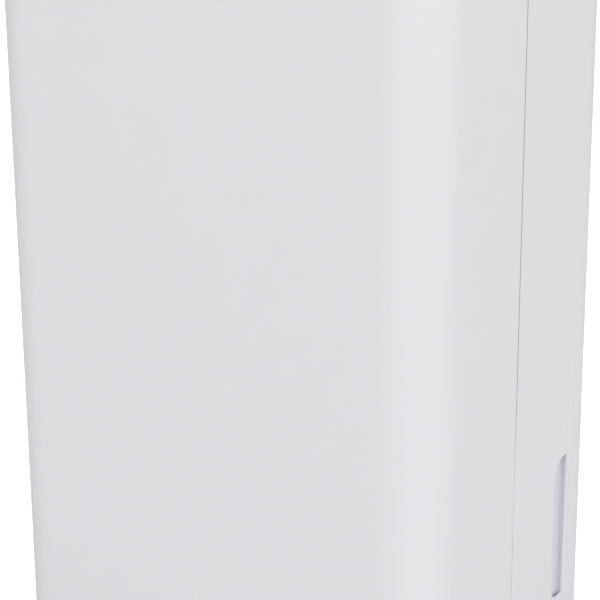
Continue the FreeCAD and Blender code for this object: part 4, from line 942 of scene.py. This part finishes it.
@dataclass
class Controls(Assembly):
    """Fascia, window, keys and boards, with the printed symbols and the lit digits."""

    line: float = 0.5 * MM
    print_thick: float = 0.08 * MM
    digit_high: float = 8.0 * MM
    digit_wide: float = 4.4 * MM
    finishes: dict[str, Stock] = field(default_factory=lambda: {
        "control_panel": Stock.FASCIA, "display_window": Stock.WINDOW,
        "control_board": Stock.BOARD, "main_board": Stock.BOARD,
        "electrics_box": Stock.ZINC, "run_capacitor": Stock.CAN,
        **{f"button_{mark.value}": Stock.KEY for mark in Mark},
    })

    def build(self) -> list[bpy.types.Object]:
        """Symbols on the keys, two digits in the window and a row of lamps."""
        made = [self.symbol(mark) for mark in Mark]
        made.append(self.digits("50"))
        made.append(self.lamps())
        return made

    def symbol(self, mark: Mark) -> bpy.types.Object:
        """A key's printed symbol.

        Args:
            mark: which key.

        Returns:
            The print, riding on its key.
        """
        node = f"button_{mark.value}"
        centre = middle_of(node)
        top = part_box(node)[1].z + self.print_thick / 2
        spot = Vector((centre.x, centre.y, top))

        def bar(mesh: bmesh.types.BMesh, length: float, angle: float, at: Vector) -> None:
            """A printed bar.

            Args:
                mesh: the bmesh.
                length: its length.
                angle: its turn about the vertical.
                at: its middle, from the key's middle.
            """
            place = Matrix.Translation(spot + at) @ Matrix.Rotation(angle, 4, "Z")
            place = place @ Matrix.Diagonal((length, self.line, self.print_thick, 1.0))
            bmesh.ops.create_cube(mesh, size=1.0, matrix=place)

        def ring(mesh: bmesh.types.BMesh, radius: float, start: float, sweep: float) -> None:
            """A printed ring or arc about the key's middle.

            Args:
                mesh: the bmesh.
                radius: its middle radius.
                start: where it starts.
                sweep: how far it goes.
            """
            half, thick = self.line / 2, self.print_thick / 2
            corners = (
                (radius - half, -thick),
                (radius + half, -thick),
                (radius + half, thick),
                (radius - half, thick),
            )
            first = Vector((math.cos(start), math.sin(start), 0))
            verts = [mesh.verts.new(spot + first * r + Vector((0, 0, h))) for r, h in corners]
            face = mesh.faces.new(verts)
            whole = abs(sweep - 2 * math.pi) < 1e-6
            if whole:
                mesh.faces.remove(face)
            geom = verts + [
                e for e in mesh.edges if all(v in verts for v in e.verts)
            ] + ([] if whole else [face])
            bmesh.ops.spin(
                mesh, geom=geom, cent=spot, axis=(0, 0, 1), angle=sweep, steps=28, use_merge=whole
            )

        def power(mesh: bmesh.types.BMesh) -> None:
            """An open ring with a bar in its gap."""
            ring(mesh, 2.4 * MM, math.radians(120), math.radians(300))
            bar(mesh, 2.6 * MM, math.pi / 2, Vector((0, 1.9 * MM, 0)))

        def mode(mesh: bmesh.types.BMesh) -> None:
            """Three bars, each shorter than the last."""
            for k in range(3):
                bar(mesh, (5.0 - k) * MM, 0.0, Vector((0, (1.5 - 1.5 * k) * MM, 0)))

        def timer(mesh: bmesh.types.BMesh) -> None:
            """A ring with two hands."""
            ring(mesh, 2.6 * MM, 0.0, 2 * math.pi)
            bar(mesh, 1.8 * MM, math.pi / 2, Vector((0, 0.8 * MM, 0)))
            bar(mesh, 1.4 * MM, 0.0, Vector((0.6 * MM, 0, 0)))

        def speed(mesh: bmesh.types.BMesh) -> None:
            """Three blades about a hub."""
            for k in range(3):
                angle = math.radians(90 + 120 * k)
                bar(
                    mesh,
                    2.2 * MM,
                    angle + 0.5,
                    Vector((math.cos(angle) * 1.5 * MM, math.sin(angle) * 1.5 * MM, 0)),
                )
            ring(mesh, 0.7 * MM, 0.0, 2 * math.pi)

        def humidity(mesh: bmesh.types.BMesh) -> None:
            """A drop."""
            ring(mesh, 1.9 * MM, math.radians(150), math.radians(240))
            for side in (-1, 1):
                bar(
                    mesh,
                    3.3 * MM,
                    math.radians(90 + side * 30),
                    Vector((side * 0.82 * MM, 2.37 * MM, 0)),
                )

        shapes = {
            Mark.POWER: power,
            Mark.MODE: mode,
            Mark.TIMER: timer,
            Mark.SPEED: speed,
            Mark.HUMIDITY: humidity,
        }
        return Maker(f"symbol_{mark.value}", Stock.PRINT, f"key_{mark.value}").piece(shapes[mark])

    def digits(self, text: str) -> bpy.types.Object:
        """Seven-segment digits in the window.

        Args:
            text: the digits, such as a humidity.

        Returns:
            The lit segments as one piece.
        """
        lit = {"0": "abcdef", "5": "acdfg"}
        low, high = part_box("display_window")
        centre = (low + high) / 2
        level = high.z + 0.04 * MM
        half_w, half_h, bar = self.digit_wide / 2, self.digit_high / 2, 0.9 * MM

        def build(mesh: bmesh.types.BMesh) -> None:
            """The lit segments of each figure."""
            for place, figure in enumerate(text):
                x = centre.x + (place - (len(text) - 1) / 2) * self.digit_wide * 1.75
                spots = {
                    "a": (0, half_h, True), "d": (0, -half_h, True), "g": (0, 0, True),
                    "f": (-half_w, half_h / 2, False), "b": (half_w, half_h / 2, False),
                    "e": (-half_w, -half_h / 2, False), "c": (half_w, -half_h / 2, False),
                }
                for name in lit[figure]:
                    dx, dy, flat = spots[name]
                    long_by = (self.digit_wide if flat else self.digit_high / 2) - bar * 1.1
                    size = (long_by, bar, 0.08 * MM) if flat else (bar, long_by, 0.08 * MM)
                    middle = Vector((x + dx, centre.y + dy, level))
                    block(mesh, middle - Vector(size) / 2, middle + Vector(size) / 2)

        return Maker("display_digits", Stock.DIGIT, "cabinet").piece(build)

    def lamps(self) -> bpy.types.Object:
        """A small lamp in front of each key.

        Returns:
            The lamps as one piece.
        """
        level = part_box("control_panel")[1].z

        def build(mesh: bmesh.types.BMesh) -> None:
            """One lamp to a key."""
            for mark in Mark:
                centre = middle_of(f"button_{mark.value}")
                disc(
                    mesh,
                    (centre.x, centre.y - 7.4 * MM, level + 0.05 * MM),
                    0.6 * MM,
                    0.14 * MM,
                    16,
                )

        return Maker("lamps", Stock.LED, "cabinet").piece(build)


@dataclass
class Handling(Assembly):
    """The carrying handle and the castors."""

    corners: tuple[str, ...] = ("front_left", "front_right", "rear_left", "rear_right")
    hub_radius: float = 5.2 * MM

    def __post_init__(self) -> None:
        """Lists the nodes of the four castors."""
        self.finishes = {"carry_handle": Stock.HANDLE, "handle_pins": Stock.STEEL}
        for corner in self.corners:
            self.finishes[f"castor_fork_{corner}"] = Stock.NYLON
            self.finishes[f"castor_wheel_{corner}"] = Stock.TYRE

    def build(self) -> list[bpy.types.Object]:
        """The handle's grip and the wheels' hub rings."""
        return [self.grip(), *(self.hubs(corner) for corner in self.corners)]

    def grip(self) -> bpy.types.Object:
        """A ribbed soft grip let into the bar's top.

        Returns:
            The grip, riding on the handle.
        """
        low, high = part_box("carry_handle")

        def build(mesh: bmesh.types.BMesh) -> None:
            """The ribs, side by side."""
            count = 21
            for k in range(count):
                x = (k - (count - 1) / 2) * 4.2 * MM
                block(
                    mesh,
                    (x - 1.3 * MM, high.y - 12.5 * MM, high.z - 0.4 * MM),
                    (x + 1.3 * MM, high.y - 4.0 * MM, high.z + 0.5 * MM),
                    0.35 * MM,
                )

        return Maker("handle_grip", Stock.RUBBER, "handle").piece(build)

    def hubs(self, corner: str) -> bpy.types.Object:
        """The two bright rings of a castor's hub.

        Args:
            corner: which castor.

        Returns:
            The rings, riding on the wheel.
        """
        low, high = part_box(f"castor_wheel_{corner}")
        centre = (low + high) / 2

        def build(mesh: bmesh.types.BMesh) -> None:
            """A ring on each side."""
            for side in (-1, 1):
                face = side * ((high.x - low.x) / 2 - 1.25 * MM)
                ring = (
                    (self.hub_radius, 0.0),
                    (self.hub_radius + 1.6 * MM, 0.0),
                    (self.hub_radius + 1.2 * MM, side * 0.7 * MM),
                    (self.hub_radius + 0.4 * MM, side * 0.7 * MM),
                )
                lathe(mesh, ring, (centre.x + face, centre.y, centre.z), (1, 0, 0), 32)

        return Maker(f"hub_rings_{corner}", Stock.SKIRT, f"wheel_{corner}").piece(build)


# ---------------------------------------------------------------- studio
@dataclass(frozen=True)
class Softbox:
    """A rectangular area light that points at a place on the object."""

    name: str
    azimuth: float
    elevation: float
    distance: float
    width: float
    height: float
    power: float

    def build(self, target: Vector) -> bpy.types.Object:
        """Makes the light.

        Args:
            target: what it points at.

        Returns:
            The light.
        """
        a, e = math.radians(self.azimuth), math.radians(self.elevation)
        back = Vector((math.sin(a) * math.cos(e), -math.cos(a) * math.cos(e), math.sin(e)))
        lamp = bpy.data.lights.new(self.name, "AREA")
        lamp.shape = "RECTANGLE"
        lamp.size, lamp.size_y, lamp.energy = self.width, self.height, self.power
        made = bpy.data.objects.new(self.name, lamp)
        made.location = target + back * self.distance
        made.rotation_mode = "QUATERNION"
        made.rotation_quaternion = (-back).to_track_quat("-Z", "Y")
        bpy.context.scene.collection.objects.link(made)
        return made


@dataclass
class Studio:
    """Floor, surround, lights and camera."""

    azimuth: float = 34.0
    elevation: float = 15.0
    distance: float = 1.1708
    lens: float = 98.3
    roll: float = -0.42
    target: tuple[float, float, float] = (-0.0006, -0.0004, 0.280)
    dim: float = 0.43
    bright: float = 1.27
    dark_at: float = -0.5
    bounce: tuple[float, float, float] = (0.61, 0.61, 0.62)
    lit_from: tuple[float, float] = (50.0, 35.0)
    boxes: tuple[Softbox, ...] = (
        Softbox("key", 47.0, 26.0, 2.4, 1.1, 1.4, 2.4),
        Softbox("overhead", 20.0, 78.0, 2.2, 1.8, 1.8, 8.0),
    )

    def build(self) -> None:
        """Builds everything that isn't the object."""
        self.floor()
        self.surround()
        middle = Vector((0, 0, 0.3))
        for softbox in self.boxes:
            softbox.build(middle)
        self.camera()
        scene = bpy.context.scene
        scene.view_settings.view_transform = "Standard"
        scene.view_settings.look = "None"

    def floor(self) -> None:
        """A pale floor, wide enough to fill the view."""
        mesh = bmesh.new()
        bmesh.ops.create_circle(mesh, cap_ends=True, segments=96, radius=14.0)
        data = bpy.data.meshes.new("floor")
        mesh.to_mesh(data)
        mesh.free()
        made = bpy.data.objects.new("floor", data)
        bpy.context.scene.collection.objects.link(made)
        paint = bpy.data.materials.new("floor pale")
        graph = Graph(paint)
        colour = graph.mix(graph.noise(0.4, 2.0), (0.90, 0.90, 0.90), (0.93, 0.93, 0.93))
        seen = graph.surface(
            Base_Color=colour,
            Roughness=0.7,
            Emission_Color=(1.0, 1.0, 1.0),
            Emission_Strength=0.45,
        )
        dull = graph.node("ShaderNodeBsdfDiffuse", {}, {"Color": (*self.bounce, 1.0)})
        graph.finish(graph.seen_mix(dull, seen))
        made.data.materials.append(paint)

    def surround(self) -> None:
        """An even surround: white to the eye, softer as a light."""
        world = bpy.data.worlds.new("surround")
        bpy.context.scene.world = world
        graph = Graph(world)
        a, e = (math.radians(angle) for angle in self.lit_from)
        source = (math.sin(a) * math.cos(e), -math.cos(a) * math.cos(e), math.sin(e))
        way = graph.node("ShaderNodeTexCoord", {}, {}, "Generated")
        toward = graph.node(
            "ShaderNodeVectorMath", {"operation": "DOT_PRODUCT"}, {0: way, 1: source}, "Value"
        )
        limits = {
            "From Min": self.dark_at, "From Max": 0.9, "To Min": self.dim, "To Max": self.bright
        }
        strength = graph.node("ShaderNodeMapRange", {}, {"Value": toward, **limits})
        paper = (1.0, 1.0, 1.0, 1.0)
        soft = graph.node("ShaderNodeBackground", {}, {"Color": paper, "Strength": strength})
        white = graph.node("ShaderNodeBackground", {}, {"Color": paper})
        graph.finish(graph.seen_mix(soft, white), "ShaderNodeOutputWorld")

    def camera(self) -> None:
        """The camera, in front and to the right, looking a little down."""
        a, e = math.radians(self.azimuth), math.radians(self.elevation)
        back = Vector((math.sin(a) * math.cos(e), -math.cos(a) * math.cos(e), math.sin(e)))
        lens = bpy.data.cameras.new("camera")
        lens.lens, lens.sensor_width = self.lens, 36.0
        made = bpy.data.objects.new("camera", lens)
        made.location = Vector(self.target) + back * self.distance
        made.rotation_mode = "QUATERNION"
        made.rotation_quaternion = (-back).to_track_quat("-Z", "Y") @ Matrix.Rotation(
            math.radians(self.roll), 3, "Z"
        ).to_quaternion()
        bpy.context.scene.collection.objects.link(made)
        bpy.context.scene.camera = made


def main() -> None:
    """Builds the looks, sub-assembly by sub-assembly."""
    logging.basicConfig(level=logging.INFO, format="%(message)s")
    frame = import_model()
    dressed: set[str] = set()
    for kind in (Cabinet, WaterTank, AirPath, Refrigeration, Controls, Handling):
        assembly = kind(frame)
        assembly.dress()
        dressed |= set(assembly.finishes)
        for piece in assembly.build():
            LOG.info("%s: %s, %d faces", kind.__name__, piece.name, len(piece.data.polygons))
    bare = sorted(set(frame["nodes"]) - dressed)
    if bare:
        raise ValueError(f"these nodes have no finish: {bare}")
    Studio().build()


if __name__ == "__main__":
    main()
